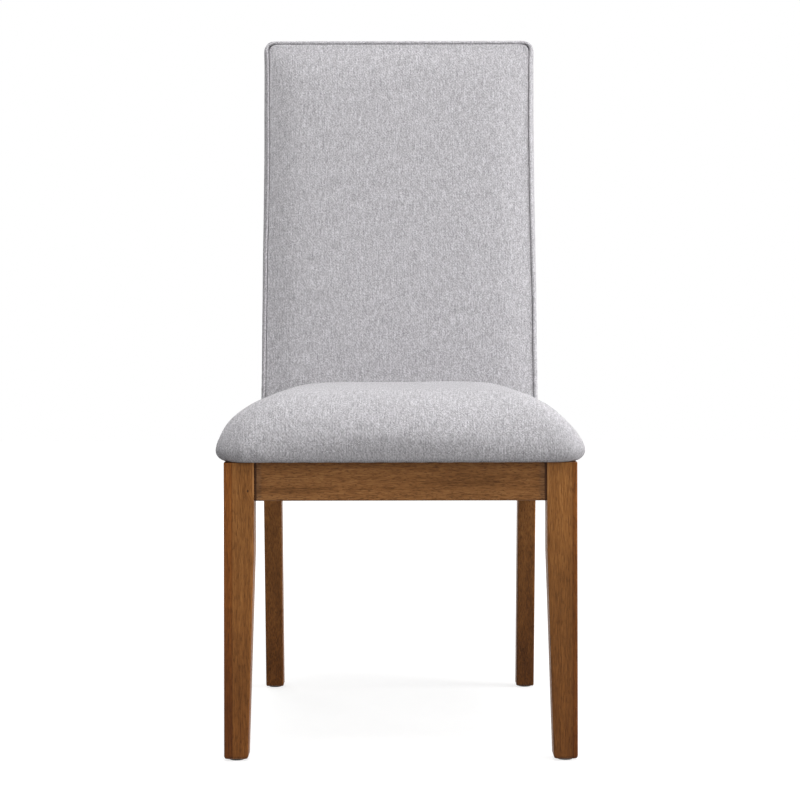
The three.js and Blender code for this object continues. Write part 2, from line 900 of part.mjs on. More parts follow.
function addWelt() {
  const path = new PipingPath();
  const circle = Array.from({ length: weltSides }, (_, i) => {
    const angle = (i / weltSides) * 4 * quarterTurn;
    return new THREE.Vector2(weltRadius * Math.cos(angle), weltRadius * Math.sin(angle));
  });
  const welt = new THREE.ExtrudeGeometry(new THREE.Shape(circle), {
    steps: path.stations.length - 1,
    extrudePath: path,
  });
  addPiece("back_welt", welt, greyFabric, back);
}

function addWebbing(order) {
  const low = lowerRailFoot + railHeight;
  const high = frameTop - railHeight;
  const middle = THREE.MathUtils.lerp(low, high, (order + 1) / (webbingCount + 1));
  const half = backHalf - frameInset - seam;
  const front = foamBack + seam;
  const start = new THREE.Vector3(-half, front, middle - webbingHeight / 2);
  const end = new THREE.Vector3(half, front + webbingThickness, middle + webbingHeight / 2);
  addPiece(`back_webbing_${order + 1}`, geometryOf(boxBetween(start, end)), webbingBlack, back);
}

// Seat

// Plan outline of the seat, drawn in by an inset and narrowing to the rear with the side aprons
function seatOutline(inset, radius, rear) {
  const half = seatHalf - inset;
  const narrow = (p) => new THREE.Vector2(p.x * (1 - (sideTaper * p.y) / half), p.y);
  const front = inset - seatFrontOverhang;
  return roundedRectangle(-half, half, front, rear, radius, arcSteps, seatSides).map(narrow);
}

// The seat's crowned form: a drawn-in underside, a widest line and a crown about its peak
function seatForm(inset) {
  const rings = [];
  const rear = seatCrest + seatRearRun - inset;
  for (let i = 0; i < undersideSteps; i += 1) {
    const angle = (i / undersideSteps) * quarterTurn;
    const draw = inset + seatTuck * (1 - Math.sin(angle));
    const z = widestHeight - (seatWidestRise - inset) * Math.cos(angle);
    const outline = seatOutline(draw, seatCornerRadius - draw, rear);
    rings.push(outline.map((p) => new THREE.Vector3(p.x, p.y, z)));
  }
  const widest = seatOutline(inset, seatCornerRadius - inset, rear);
  const crownRing = (share) => {
    const rise = Math.sqrt(1 - share ** seatCrownPower);
    const z = widestHeight + (seatCrownRise - inset) * rise;
    const towardsPeak = (p) =>
      new THREE.Vector3(p.x * share, seatCrest + (p.y - seatCrest) * share, z);
    rings.push(widest.map(towardsPeak));
  };
  for (let i = 0; i < crownSteps; i += 1) {
    crownRing(Math.cos((i / crownSteps) * quarterTurn) ** (2 / seatCrownPower));
  }
  crownRing(peakShare);
  return solidOf(loft(rings));
}

// Everything behind a plane that lies a given distance in front of the back's face
function behindFace(distance) {
  const wide = 2 * rearWidth;
  const low = new THREE.Vector3(-wide, -distance, -overallHeight);
  const high = new THREE.Vector3(wide, wide, 2 * overallHeight);
  return boxBetween(low, high, backFrame);
}

// Depth of the seat's rear end at a height
const seatRear = (z, distance) =>
  seatDepth - distance / Math.cos(reclineAngle) + recline * (z - railTop);

// The board with a tongue between the posts, grown by an amount all round
function boardPrism(grow, low, high) {
  const shoulder = seatRear(boardFoot, 2 * seam + fabric) - seam;
  const inset = boardInset - grow;
  const front = inset - seatFrontOverhang;
  const edge = (y) => seatHalf - inset - sideTaper * y;
  const rear = shoulder + grow;
  const tongue = tongueHalf + grow;
  const end = rearApronFront + tongueRest + grow;
  const shape = cornerShape([
    [-edge(front), front, boardCornerRadius],
    [edge(front), front, boardCornerRadius],
    [edge(rear), rear],
    [tongue, rear],
    [tongue, end],
    [-tongue, end],
    [-tongue, rear],
    [-edge(rear), rear],
  ]);
  const board = new THREE.ExtrudeGeometry(shape, {
    depth: high - low,
    bevelEnabled: false,
    curveSegments: arcSteps,
  });
  return solidOf(board.translate(0, 0, low));
}

// Plan prism inside the cover's lip, drawn in by an inset
function lipOpening(inset, low, high) {
  const draw = seatTuck + seatLip + inset;
  const rear = seatRear(coverBase, seam) - seatLip - inset;
  const radius = boardCornerRadius - inset;
  const outline = seatOutline(draw, radius, rear);
  const ring = (z) => outline.map((p) => new THREE.Vector3(p.x, p.y, z));
  return solidOf(loft([ring(low), ring(high)]));
}

function addSeatBoard(screws) {
  const board = boardPrism(0, boardFoot, boardTop);
  const drilled = screws.reduce((rest, screw) => rest.subtract(shankHole(screw)), board);
  addPiece("seat_board", geometryOf(drilled), plywood);
}

function addSeatFoam() {
  const inset = fabric + seam;
  const foam = seatForm(inset)
    .subtract(behindFace(inset + seam))
    .subtract(boardPrism(seam, railTop, boardTop + seam));
  addPiece("seat_foam", geometryOf(foam), foamYellow);
}

function addSeatCover() {
  const tongue = tongueHalf + seam;
  const slotFront = seatRear(coverBase, seam) - overrun;
  const slotLow = new THREE.Vector3(-tongue, slotFront, coverBase + fabric);
  const slotHigh = new THREE.Vector3(tongue, seatDepth + overrun, boardTop + seam);
  const inner = seatForm(fabric).subtract(behindFace(fabric + seam));
  const cover = seatForm(0)
    .subtract(behindFace(seam))
    .subtract(inner)
    .subtract(boxBetween(slotLow, slotHigh))
    .subtract(lipOpening(0, railTop, boardFoot));
  addPiece("seat_cover", geometryOf(cover), greyFabric);
}

function addDustCover(screws) {
  const high = boardFoot - seam;
  const sheet = lipOpening(dustCoverGap, high - dustCoverThickness, high);
  const pierced = screws.reduce((rest, screw) => rest.subtract(shankHole(screw)), sheet);
  addPiece("seat_dust_cover", geometryOf(pierced), cambric);
}

// Assembly

sides.forEach(([word, side]) => {
  addFrontLeg(word, side);
  addRearPost(word, side);
});

const aprons = [
  crossApron("front_apron", legInner, apronRecess, (side) => frontTenon(side)),
  crossApron("rear_apron", postInner, rearApronFront, (side) => rearTenon(side)),
  ...sides.map(([word, side]) => sideApron(word, side)),
];
const screwSets = corners.map((corner) => ({ corner, screws: cornerScrews(corner) }));

aprons.forEach(({ name, solid }) => {
  let drilled = solid;
  screwSets.forEach(({ corner, screws }) => {
    if (corner.cross === name) {
      drilled = drilled.subtract(shankHole(screws.cross));
    }
    if (corner.flank === name) {
      drilled = drilled.subtract(shankHole(screws.flank));
    }
  });
  addPiece(name, geometryOf(drilled), stainedWood);
});

screwSets.forEach(({ corner, screws }) => {
  const block = solidOf(blockGeometry(corner))
    .subtract(shankHole(screws.cross))
    .subtract(shankHole(screws.flank))
    .subtract(shankHole(screws.seat))
    .subtract(counterbore(screws.cross))
    .subtract(counterbore(screws.flank));
  addPiece(`corner_block_${corner.word}`, geometryOf(block), bareWood);
  Object.values(screws).forEach(addScrew);
});

sides.forEach(([word, side]) => {
  const front = addPiece(`glide_front_${word}`, glideGeometry(), nylon);
  front.position.set(side * frontGlideX, frontGlideY, 0);
  const rear = addPiece(`glide_rear_${word}`, glideGeometry(), nylon);
  rear.position.set(side * postMiddle, rearGlideY, 0);
});

addBackRail("back_lower_rail", lowerRailFoot);
addBackRail("back_top_rail", frameTop - railHeight);
for (let order = 0; order < webbingCount; order += 1) {
  addWebbing(order);
}
addBackFoam();
addWadding();
addFrontCover();
addBoxing();
addRearPanels();
addWelt();

const seatScrews = screwSets.map(({ screws }) => screws.seat);
addSeatBoard(seatScrews);
addSeatFoam();
addSeatCover();
addDustCover(seatScrews);

// The origin lies under the middle of the chair's depth
chair.position.y = (seatFrontOverhang - rearReach()) / 2;

export default chair;
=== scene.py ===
"""Looks of a parsons dining chair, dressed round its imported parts.

Metres, +Z up, and the chair faces -Y. A new shape is a surface worked out with numpy: a function
of two parameters on a grid, or a profile carried along a path, in whole arrays.
"""

from __future__ import annotations

import logging
import math
from dataclasses import dataclass
from enum import Enum

import bpy
import numpy as np
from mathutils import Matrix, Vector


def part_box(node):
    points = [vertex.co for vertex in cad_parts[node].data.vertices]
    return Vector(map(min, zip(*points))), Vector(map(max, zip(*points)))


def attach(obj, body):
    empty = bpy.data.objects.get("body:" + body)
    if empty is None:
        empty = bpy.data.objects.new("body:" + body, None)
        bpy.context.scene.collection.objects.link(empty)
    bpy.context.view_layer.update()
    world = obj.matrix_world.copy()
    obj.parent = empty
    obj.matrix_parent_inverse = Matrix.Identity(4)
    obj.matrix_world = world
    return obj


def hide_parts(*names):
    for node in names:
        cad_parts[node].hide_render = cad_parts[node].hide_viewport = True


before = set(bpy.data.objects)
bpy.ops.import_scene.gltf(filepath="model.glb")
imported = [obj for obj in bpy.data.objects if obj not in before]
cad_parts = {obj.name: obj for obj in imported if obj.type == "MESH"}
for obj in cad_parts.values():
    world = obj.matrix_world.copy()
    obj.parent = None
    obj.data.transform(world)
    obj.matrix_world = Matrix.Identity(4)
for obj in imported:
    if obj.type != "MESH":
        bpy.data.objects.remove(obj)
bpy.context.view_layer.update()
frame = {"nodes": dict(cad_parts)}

log = logging.getLogger("parsons_chair")

BODY = "root"
CLOTH_MAP = "cloth"
WORDS = ("left", "right")
WHITE = (1.0, 1.0, 1.0, 1.0)

Array = np.ndarray
Piece = bpy.types.Object
Material = bpy.types.Material
Socket = bpy.types.NodeSocket
Colour = tuple[float, float, float]
Pair = tuple[float, float]
Ways = tuple[Array, Array]
Sheet = tuple[Array, Array, Array]


# Surfaces


def part_of(value: Array, whole: float) -> Array:
    """A value as a share of a whole, held from 0 to 1."""
    return np.clip(value / whole, 0, 1)


def bell(value: Array, width: float) -> Array:
    """A smooth hump: e to the minus square of the value over the width."""
    return np.exp(-((value / width) ** 2))


def soft_start(value: Array | float) -> Array:
    """Nearly 0 below 0 and nearly the value above it: the logarithm of 1 plus e to the value."""
    return np.log1p(np.exp(value))


def soft_below(value: Array, limit: Array, ease: float) -> Array:
    """A value held below a limit: the limit less the soft part of what is left to it.

    Args:
        value: The value.
        limit: The limit.
        ease: How far from the limit the value begins to bend.

    Returns:
        The held value.
    """
    left = (limit - value) / ease
    return limit - ease * np.where(left > 30, left, np.log1p(np.exp(np.minimum(left, 30))))


def quarter_round(room: Array, width: float) -> Array:
    """How far a quarter round has fallen, from 0 to 1, at a distance inside its edge."""
    return 1 - np.sqrt(1 - np.clip(1 - room / width, 0, 1) ** 2)


def raised(flat: Array, height: Array | float) -> Array:
    """Flat points with their height as a third column."""
    return np.concatenate([flat, np.broadcast_to(height, flat.shape[:-1])[..., None]], -1)


@dataclass(frozen=True)
class Seam:
    """How cloth lies beside a seam: sunk by a quarter round, and puckered."""

    fold: float
    width: float
    pucker: float
    pitch: float
    fade: float

    def relief(self, room: Array, walked: Array) -> Array:
        """How far the cloth stands out.

        The puckers are a sine of the length walked, and die away as e to the minus distance
        over the fade.

        Args:
            room: Distance from the seam.
            walked: Length walked along it.

        Returns:
            The height, negative where the cloth is sunk.
        """
        waves = self.pucker * np.sin(walked * 2 * math.pi / self.pitch) * np.exp(-room / self.fade)
        return waves - self.fold * quarter_round(room, self.width)


@dataclass(frozen=True)
class RoundedOutline:
    """A rounded rectangle in a plane, between two sides and two ends."""

    left: float
    right: float
    low: float
    high: float
    radius: float

    def at(self, share: Array) -> Ways:
        """Walks round the outline, from the middle of one corner to the middle of the next.

        On each side, the walked length is first used up by the straight part, and what is left
        over, divided by the radius, is the angle turned into the corner.

        Args:
            share: How far round, 0 to 1, from the middle of the low left corner.

        Returns:
            The points and the outward unit normals, with a last axis of two.
        """
        quarter = np.floor(share * 4)
        side = quarter.astype(int) % 4
        centre = np.array([self.left + self.right, self.low + self.high]) / 2
        half = np.array([self.right - self.left, self.high - self.low]) / 2
        radius = max(self.radius, 1e-5)
        straight = half[side % 2] - radius
        walked = (share * 4 - quarter - 0.5) * (2 * straight + radius * math.pi / 2)
        level = np.clip(walked, -straight, straight)
        turn = (walked - level) / radius
        angle = side * math.pi / 2
        forward = np.stack([np.cos(angle), np.sin(angle)], -1)
        outward = np.stack([np.sin(angle), -np.cos(angle)], -1)
        along = (level + radius * np.sin(turn))[..., None]
        off = (half[(side + 1) % 2] - radius + radius * np.cos(turn))[..., None]
        normal = forward * np.sin(turn)[..., None] + outward * np.cos(turn)[..., None]
        return centre + forward * along + outward * off, normal


@dataclass(frozen=True)
class SquareGrid:
    """A square grid read as rings round its middle point, so that a form on it has no pole."""

    rings: int

    def places(self) -> Ways:
        """Reads each point as a place on a ring.

        Returns:
            Its ring number, and its share of the way round that ring.
        """
        steps = np.arange(-self.rings, self.rings + 1)
        i, j = (a.ravel() for a in np.meshgrid(steps, steps))
        ring = np.maximum(np.abs(i), np.abs(j))
        walked = np.select(
            [(j == -ring) & (i < ring), (i == ring) & (j < ring), (j == ring) & (i > -ring)],
            [i + ring, 3 * ring + j, 5 * ring - i],
            7 * ring - j,
        )
        return ring, walked / np.maximum(8 * ring, 1)

    def faces(self) -> Array:
        """The squares of the grid, as four point numbers each."""
        return strip_faces(2 * self.rings + 1, 2 * self.rings + 1)


def strip_faces(rows: int, columns: int, closed: bool = False) -> Array:
    """Squares of a grid given row by row, joined round each row where it is closed.

    Args:
        rows: Number of rows.
        columns: Number of points in a row.
        closed: Whether the last point of a row joins the first.

    Returns:
        Four point numbers for each square.
    """
    spans = columns if closed else columns - 1
    row = np.arange(rows - 1)[:, None] * columns
    here, there = np.arange(spans), (np.arange(spans) + 1) % columns
    corners = [row + here, row + there, row + columns + there, row + columns + here]
    return np.stack([c.ravel() for c in corners], -1)


def tube_faces(rings: int, sides: int, tubes: int = 1) -> list[list[int]]:
    """Faces of tubes given ring by ring, each closed by a cap at both ends.

    Args:
        rings: Number of rings in a tube.
        sides: Number of points in a ring.
        tubes: Number of tubes, one after another.

    Returns:
        Point numbers of each face.
    """
    starts = np.arange(tubes)[:, None, None] * rings * sides
    caps = np.stack([np.arange(sides)[::-1], np.arange(sides) + (rings - 1) * sides])
    walls = (strip_faces(rings, sides, True) + starts).reshape(-1, 4)
    return walls.tolist() + (caps + starts).reshape(-1, sides).tolist()


def carried(path: Array, normals: Array, ring: Array) -> Ways:
    """Picks each grid point off its way out from the middle, and lays the cloth flat.

    The flat place is a running sum over the rings. A step's part along the outline stays as it
    is, and its part across the outline becomes the length of the step in that direction.

    Args:
        path: Places on the way out, of shape (rings, points, 3): two across and one up.
        normals: The outline's outward normal of each point.
        ring: The ring on which each point stops.

    Returns:
        The points, and their places on the flat cloth.
    """
    step = np.diff(path, axis=0)
    across = step[..., 0] * normals[:, 0] + step[..., 1] * normals[:, 1]
    along = step[..., 1] * normals[:, 0] - step[..., 0] * normals[:, 1]
    length = np.hypot(across, step[..., 2])
    tangents = np.stack([-normals[:, 1], normals[:, 0]], -1)
    flat = normals * length[..., None] + tangents * along[..., None]
    cloth = np.concatenate([path[:1, :, :2], path[:1, :, :2] + np.cumsum(flat, 0)])
    points = np.arange(len(ring))
    return path[ring, points], cloth[ring, points]


def closed_below(grid: SquareGrid, points: Array, flat: Array) -> Sheet:
    """Closes a form on a square grid with a second grid, drawn straight in from its rim.

    A point of the second grid lies on the way from the rim's middle to the rim, at its ring's
    share of that way.

    Args:
        grid: The grid that both share.
        points: The form's points.
        flat: Their places on the cloth.

    Returns:
        The points, faces and cloth places of the closed form.
    """
    ring, share = grid.places()
    rim = np.flatnonzero(ring == grid.rings)
    order = rim[np.argsort(share[rim])]
    walked = np.append(share[order], 1.0)
    middle = points[order].mean(0)
    around = points[np.append(order, order[0])]
    edge = np.stack([np.interp(share, walked, column) for column in around.T], -1)
    below = middle + (edge - middle) * (ring / grid.rings)[:, None]
    inner = ring < grid.rings
    number = np.arange(len(points))
    number[inner] = len(points) + np.arange(inner.sum())
    faces = np.concatenate([grid.faces(), number[grid.faces()][:, ::-1]])
    points = np.concatenate([points, below[inner]])
    return points, faces, np.concatenate([flat, below[inner][:, :2]])


def between(skin: Array, core: Array, faces: Array, flat: Array, columns: int) -> Sheet:
    """Closes the space between two surfaces with the same grid.

    Args:
        skin: Points of the outer surface.
        core: Points of the inner one.
        faces: Faces of the outer surface.
        flat: Its places on the cloth.
        columns: Points in each row of the grid.

    Returns:
        The points, faces and cloth places of the closed form.
    """
    count = len(skin)
    number = np.arange(count).reshape(-1, columns)
    rim = np.concatenate([number[0, :-1], number[:-1, -1], number[-1, :0:-1], number[:0:-1, 0]])
    after = np.roll(rim, -1)
    wall = np.stack([rim, after, after + count, rim + count], -1)
    faces = np.concatenate([faces, faces[:, ::-1] + count, wall])
    return np.concatenate([skin, core]), faces, np.concatenate([flat, flat])


# Meshes


def new_piece(
    name: str, points: Array, faces: list | Array, cloth: Array | None = None, smooth: bool = True
) -> Piece:
    """Makes a mesh object at the origin from arrays.

    Args:
        name: The piece's name.
        points: Its points.
        faces: Point numbers of each face.
        cloth: The flat place of each point, kept as the piece's UV map in metres.
        smooth: Whether its faces are shaded smooth.

    Returns:
        The new object.
    """
    mesh = bpy.data.meshes.new(name)
    listed = faces.tolist() if isinstance(faces, Array) else faces
    mesh.from_pydata(np.asarray(points, float).tolist(), [], listed)
    mesh.polygons.foreach_set("use_smooth", np.full(len(mesh.polygons), smooth))
    if cloth is not None:
        corner = np.zeros(len(mesh.loops), np.int32)
        mesh.loops.foreach_get("vertex_index", corner)
        flat = mesh.uv_layers.new(name=CLOTH_MAP)
        flat.data.foreach_set("uv", np.asarray(cloth, np.float32)[corner].ravel())
    mesh.update()
    piece = bpy.data.objects.new(name, mesh)
    bpy.context.scene.collection.objects.link(piece)
    return piece


def read_points(mesh: bpy.types.Mesh, what: str = "co") -> Array:
    """Reads a mesh's points, or another of their values, into three columns.

    Args:
        mesh: The mesh.
        what: The value's name.

    Returns:
        A row for each point.
    """
    flat = np.zeros(len(mesh.vertices) * 3)
    mesh.vertices.foreach_get(what, flat)
    return flat.reshape(-1, 3)


def turned_out(piece: Piece) -> Piece:
    """Turns a closed piece's faces over if its signed volume is negative.

    The volume is a sixth of the sum of the triple products of all triangles' corners.

    Args:
        piece: The piece.

    Returns:
        The same piece.
    """
    mesh = piece.data
    mesh.calc_loop_triangles()
    corners = np.zeros(len(mesh.loop_triangles) * 3, np.int32)
    mesh.loop_triangles.foreach_get("vertices", corners)
    a, b, c = read_points(mesh)[corners.reshape(-1, 3)].transpose(1, 0, 2)
    if np.einsum("ij,ij->i", a, np.cross(b, c)).sum() < 0:
        mesh.flip_normals()
    return piece


def divided(piece: Piece) -> None:
    """Finishes a piece with a subdivision surface, the same in view and in render."""
    surface = piece.modifiers.new("smooth", "SUBSURF")
    surface.levels = surface.render_levels = 1


def walled(piece: Piece, thickness: float) -> None:
    """Gives a sheet its thickness, inwards from the side that its faces look to.

    Args:
        piece: The sheet.
        thickness: Its thickness.
    """
    wall = piece.modifiers.new("thickness", "SOLIDIFY")
    wall.thickness = thickness
    wall.offset = -1


def kept(piece: Piece, material: Material, slot: str, *nodes: str) -> None:
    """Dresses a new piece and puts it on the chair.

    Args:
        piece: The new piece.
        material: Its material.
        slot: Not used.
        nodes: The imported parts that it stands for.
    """
    piece.data.materials.append(material)
    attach(piece, BODY)
    if nodes:
        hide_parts(*nodes)
    stands_for = ", ".join(nodes) or "itself"
    log.info("%s: %d points, for %s", piece.name, len(piece.data.vertices), stands_for)


@dataclass(frozen=True)
class Swelling:
    """How a cover swells over its filling, by a cloth simulation that is then made the mesh."""

    cap: float
    pressure: float = 4.0
    give: float = 0.0005
    grip: float = 3.0
    frames: int = 20
    stiffness: float = 30.0

    def apply(self, piece: Piece, held: Array) -> None:
        """Runs the cloth and keeps its result, with no point further out than the cap.

        The filling holds the cloth, so a point sinks no deeper than the filling gives, and what
        it would slide along its surface is divided by the grip.

        Args:
            piece: The cover, whose points are moved.
            held: True for each point that stays where it is.
        """
        before = read_points(piece.data)
        pins = piece.vertex_groups.new(name="held")
        pins.add(np.flatnonzero(held).tolist(), 1.0, "REPLACE")
        cloth = piece.modifiers.new("swelling", "CLOTH")
        settings = cloth.settings
        settings.quality = 6
        settings.use_pressure = True
        settings.uniform_pressure_force = self.pressure
        settings.tension_stiffness = settings.compression_stiffness = self.stiffness
        settings.vertex_group_mass = pins.name
        settings.effector_weights.gravity = 0
        scene = bpy.context.scene
        cloth.point_cache.frame_end = self.frames
        for number in range(1, self.frames + 1):
            scene.frame_set(number)
        shown = piece.evaluated_get(bpy.context.evaluated_depsgraph_get())
        moved = read_points(shown.data) - before
        piece.modifiers.remove(cloth)
        piece.vertex_groups.remove(pins)
        scene.frame_set(1)
        normals = read_points(piece.data, "normal")
        out = np.einsum("ij,ij->i", moved, normals)[:, None]
        limit = np.where(out > 0, self.cap, self.give)
        slid = (moved - normals * out) / self.grip
        after = before + (normals * limit * np.tanh(out / limit) + slid)
        piece.data.vertices.foreach_set("co", after.ravel())
        piece.data.update()


# Finishes


def opaque(colour: Socket | Colour) -> Socket | tuple:
    """A colour with full alpha, or a socket as it is."""
    return (*colour, 1.0) if isinstance(colour, tuple) else colour


class Graph:
    """The nodes of a material or of the world, added one by one with short calls."""

    def __init__(self, owner: Material | bpy.types.World) -> None:
        """Starts without nodes.

        Args:
            owner: The material or world that the nodes belong to.
        """
        owner.use_nodes = True
        self.owner = owner
        self.tree = owner.node_tree
        self.tree.nodes.clear()

    def add(self, kind: str, feeds: dict | None = None, **settings: object) -> bpy.types.Node:
        """Adds a node.

        Args:
            kind: The node's type.
            feeds: What goes into its inputs, by name or number: a socket or a value.
            settings: Its own settings.

        Returns:
            The new node.
        """
        node = self.tree.nodes.new(kind)
        for key, value in settings.items():
            setattr(node, key, value)
        for key, value in (feeds or {}).items():
            if isinstance(value, Socket):
                self.tree.links.new(value, node.inputs[key])
            else:
                node.inputs[key].default_value = value
        return node

    def place(self) -> Socket:
        """Where a point lies on the object, in metres."""
        return self.add("ShaderNodeTexCoord").outputs["Object"]

    def cloth(self) -> Socket:
        """Where a point lies on the flat cloth, in metres."""
        return self.add("ShaderNodeUVMap", uv_map=CLOTH_MAP).outputs[0]

    def turned(self, vector: Socket, turn: float) -> Socket:
        """A place on the flat cloth, turned by an angle."""
        feeds = {"Vector": vector, "Rotation": (0, 0, turn)}
        return self.add("ShaderNodeMapping", feeds).outputs[0]

    def axes(self, vector: Socket) -> bpy.types.NodeOutputs:
        """The parts X, Y and Z of a vector."""
        return self.add("ShaderNodeSeparateXYZ", {0: vector}).outputs

    def vector(self, *parts: Socket) -> Socket:
        """A vector from its parts, with 0 for those left out."""
        return self.add("ShaderNodeCombineXYZ", dict(enumerate(parts))).outputs[0]

    def math(self, operation: str, *values: Socket | float) -> Socket:
        """The result of a sum on numbers or sockets."""
        return self.add("ShaderNodeMath", dict(enumerate(values)), operation=operation).outputs[0]

    def blend(self, first: Socket, second: Socket, share: float) -> Socket:
        """A share of the first number plus the rest of the second."""
        part = self.math("MULTIPLY", first, share)
        return self.math("ADD", part, self.math("MULTIPLY", second, 1 - share))

    def swayed(self, value: Socket, by: Socket, amount: float) -> Socket:
        """A value moved up or down by half an amount, as another goes from 0 to 1."""
        return self.math("ADD", value, self.math("MULTIPLY_ADD", by, amount, -amount / 2))

    def waves(self, vector: Socket, length: float) -> Socket:
        """The product of two sines with one wave length, across and along the cloth."""
        axes = self.axes(vector)
        walked = [self.math("MULTIPLY", axes[letter], 2 * math.pi / length) for letter in "XY"]
        return self.math("MULTIPLY", *(self.math("SINE", way) for way in walked))

    def noise(
        self, vector: Socket, scale: Colour, detail: float = 2.0, shift: float = 0.0
    ) -> Socket:
        """Noise from 0 to 1, stretched by a scale along each axis.

        Args:
            vector: Where it is read, in metres.
            scale: Cycles to the metre along each axis.
            detail: How many finer layers it has.
            shift: Moves the pattern, so that two pieces differ.

        Returns:
            The noise.
        """
        feeds = {"Vector": vector, "Scale": scale, "Location": (shift, shift / 2, shift / 3)}
        place = self.add("ShaderNodeMapping", feeds).outputs[0]
        feeds = {"Vector": place, "Scale": 1.0, "Detail": detail}
        return self.add("ShaderNodeTexNoise", feeds).outputs[0]

    def spread(self, value: Socket, low: float, high: float, to: Pair = (0.0, 1.0)) -> Socket:
        """A value moved smoothly from one range into another, and held inside it.

        Args:
            value: What is moved.
            low: Where the old range starts.
            high: Where it ends.
            to: The new range.

        Returns:
            The moved value.
        """
        feeds = {0: value, 1: low, 2: high, 3: to[0], 4: to[1]}
        node = self.add("ShaderNodeMapRange", feeds, interpolation_type="SMOOTHSTEP")
        return node.outputs[0]

    def mixed(
        self, share: Socket | float, first: Socket | Colour, second: Socket | Colour,
        how: str = "MIX",
    ) -> Socket:
        """Two colours mixed by a share.

        Args:
            share: From 0, all the first, to 1.
            first: A colour or socket.
            second: A colour or socket.
            how: The way of mixing.

        Returns:
            The mixed colour.
        """
        feeds = {0: share, 6: opaque(first), 7: opaque(second)}
        return self.add("ShaderNodeMix", feeds, data_type="RGBA", blend_type=how).outputs[2]

    def tinted(self, share: Socket, colour: Socket, tint: Colour) -> Socket:
        """A colour multiplied by a tint, as far as a share says."""
        return self.mixed(share, colour, self.mixed(1.0, colour, tint, "MULTIPLY"))

    def ramp(self, value: Socket, *stops: tuple[float, Colour]) -> Socket:
        """The colour at a value between stops.

        Args:
            value: The value.
            stops: The place and colour of each stop.

        Returns:
            The colour.
        """
        node = self.add("ShaderNodeValToRGB", {0: value})
        elements = node.color_ramp.elements
        while len(elements) < len(stops):
            elements.new(0.5)
        for element, (place, colour) in zip(elements, stops):
            element.position = place
            element.color = opaque(colour)
        return node.outputs[0]

    def seen(self) -> Socket:
        """1 for a ray from the camera, a mirror or a glass, and 0 for any other."""
        rays = self.add("ShaderNodeLightPath").outputs
        first = self.math("MAXIMUM", rays["Is Camera Ray"], rays["Is Glossy Ray"])
        return self.math("MAXIMUM", first, rays["Is Transmission Ray"])

    def close(
        self, colour: Socket, roughness: Socket | float, height: Socket, depth: float, **more: float
    ) -> None:
        """Ends the graph in a surface.

        Args:
            colour: Its base colour.
            roughness: Its roughness.
            height: Height of its relief, from 0 to about 1.
            depth: Depth of the relief, in metres.
            more: Values of the shader's other sockets, with _ for a space.
        """
        relief = {"Height": height, "Distance": depth, "Strength": 1.0}
        normal = self.add("ShaderNodeBump", relief).outputs[0]
        feeds = {"Base Color": colour, "Roughness": roughness, "Normal": normal}
        feeds.update({key.replace("_", " "): value for key, value in more.items()})
        surface = self.add("ShaderNodeBsdfPrincipled", feeds)
        self.add("ShaderNodeOutputMaterial", {0: surface.outputs[0]})


@dataclass(frozen=True)
class Finish:
    """What a piece is made of, between its darkest and its lightest shade."""

    dark: Colour
    light: Colour

    def draw(self, graph: Graph) -> None:
        """Draws the finish into an empty graph."""
        raise NotImplementedError

    def material(self, name: str) -> Material:
        """Makes a material of this finish.

        Args:
            name: The material's name.

        Returns:
            The material.
        """
        graph = Graph(bpy.data.materials.new(name))
        self.draw(graph)
        return graph.owner


class Grain(Enum):
    """Which way the grain of a member runs: the order in which its axes are read."""

    CROSSWAYS = ("Y", "Z", "X")
    FRONT_TO_BACK = ("X", "Z", "Y")
    UPRIGHT = ("X", "Y", "Z")


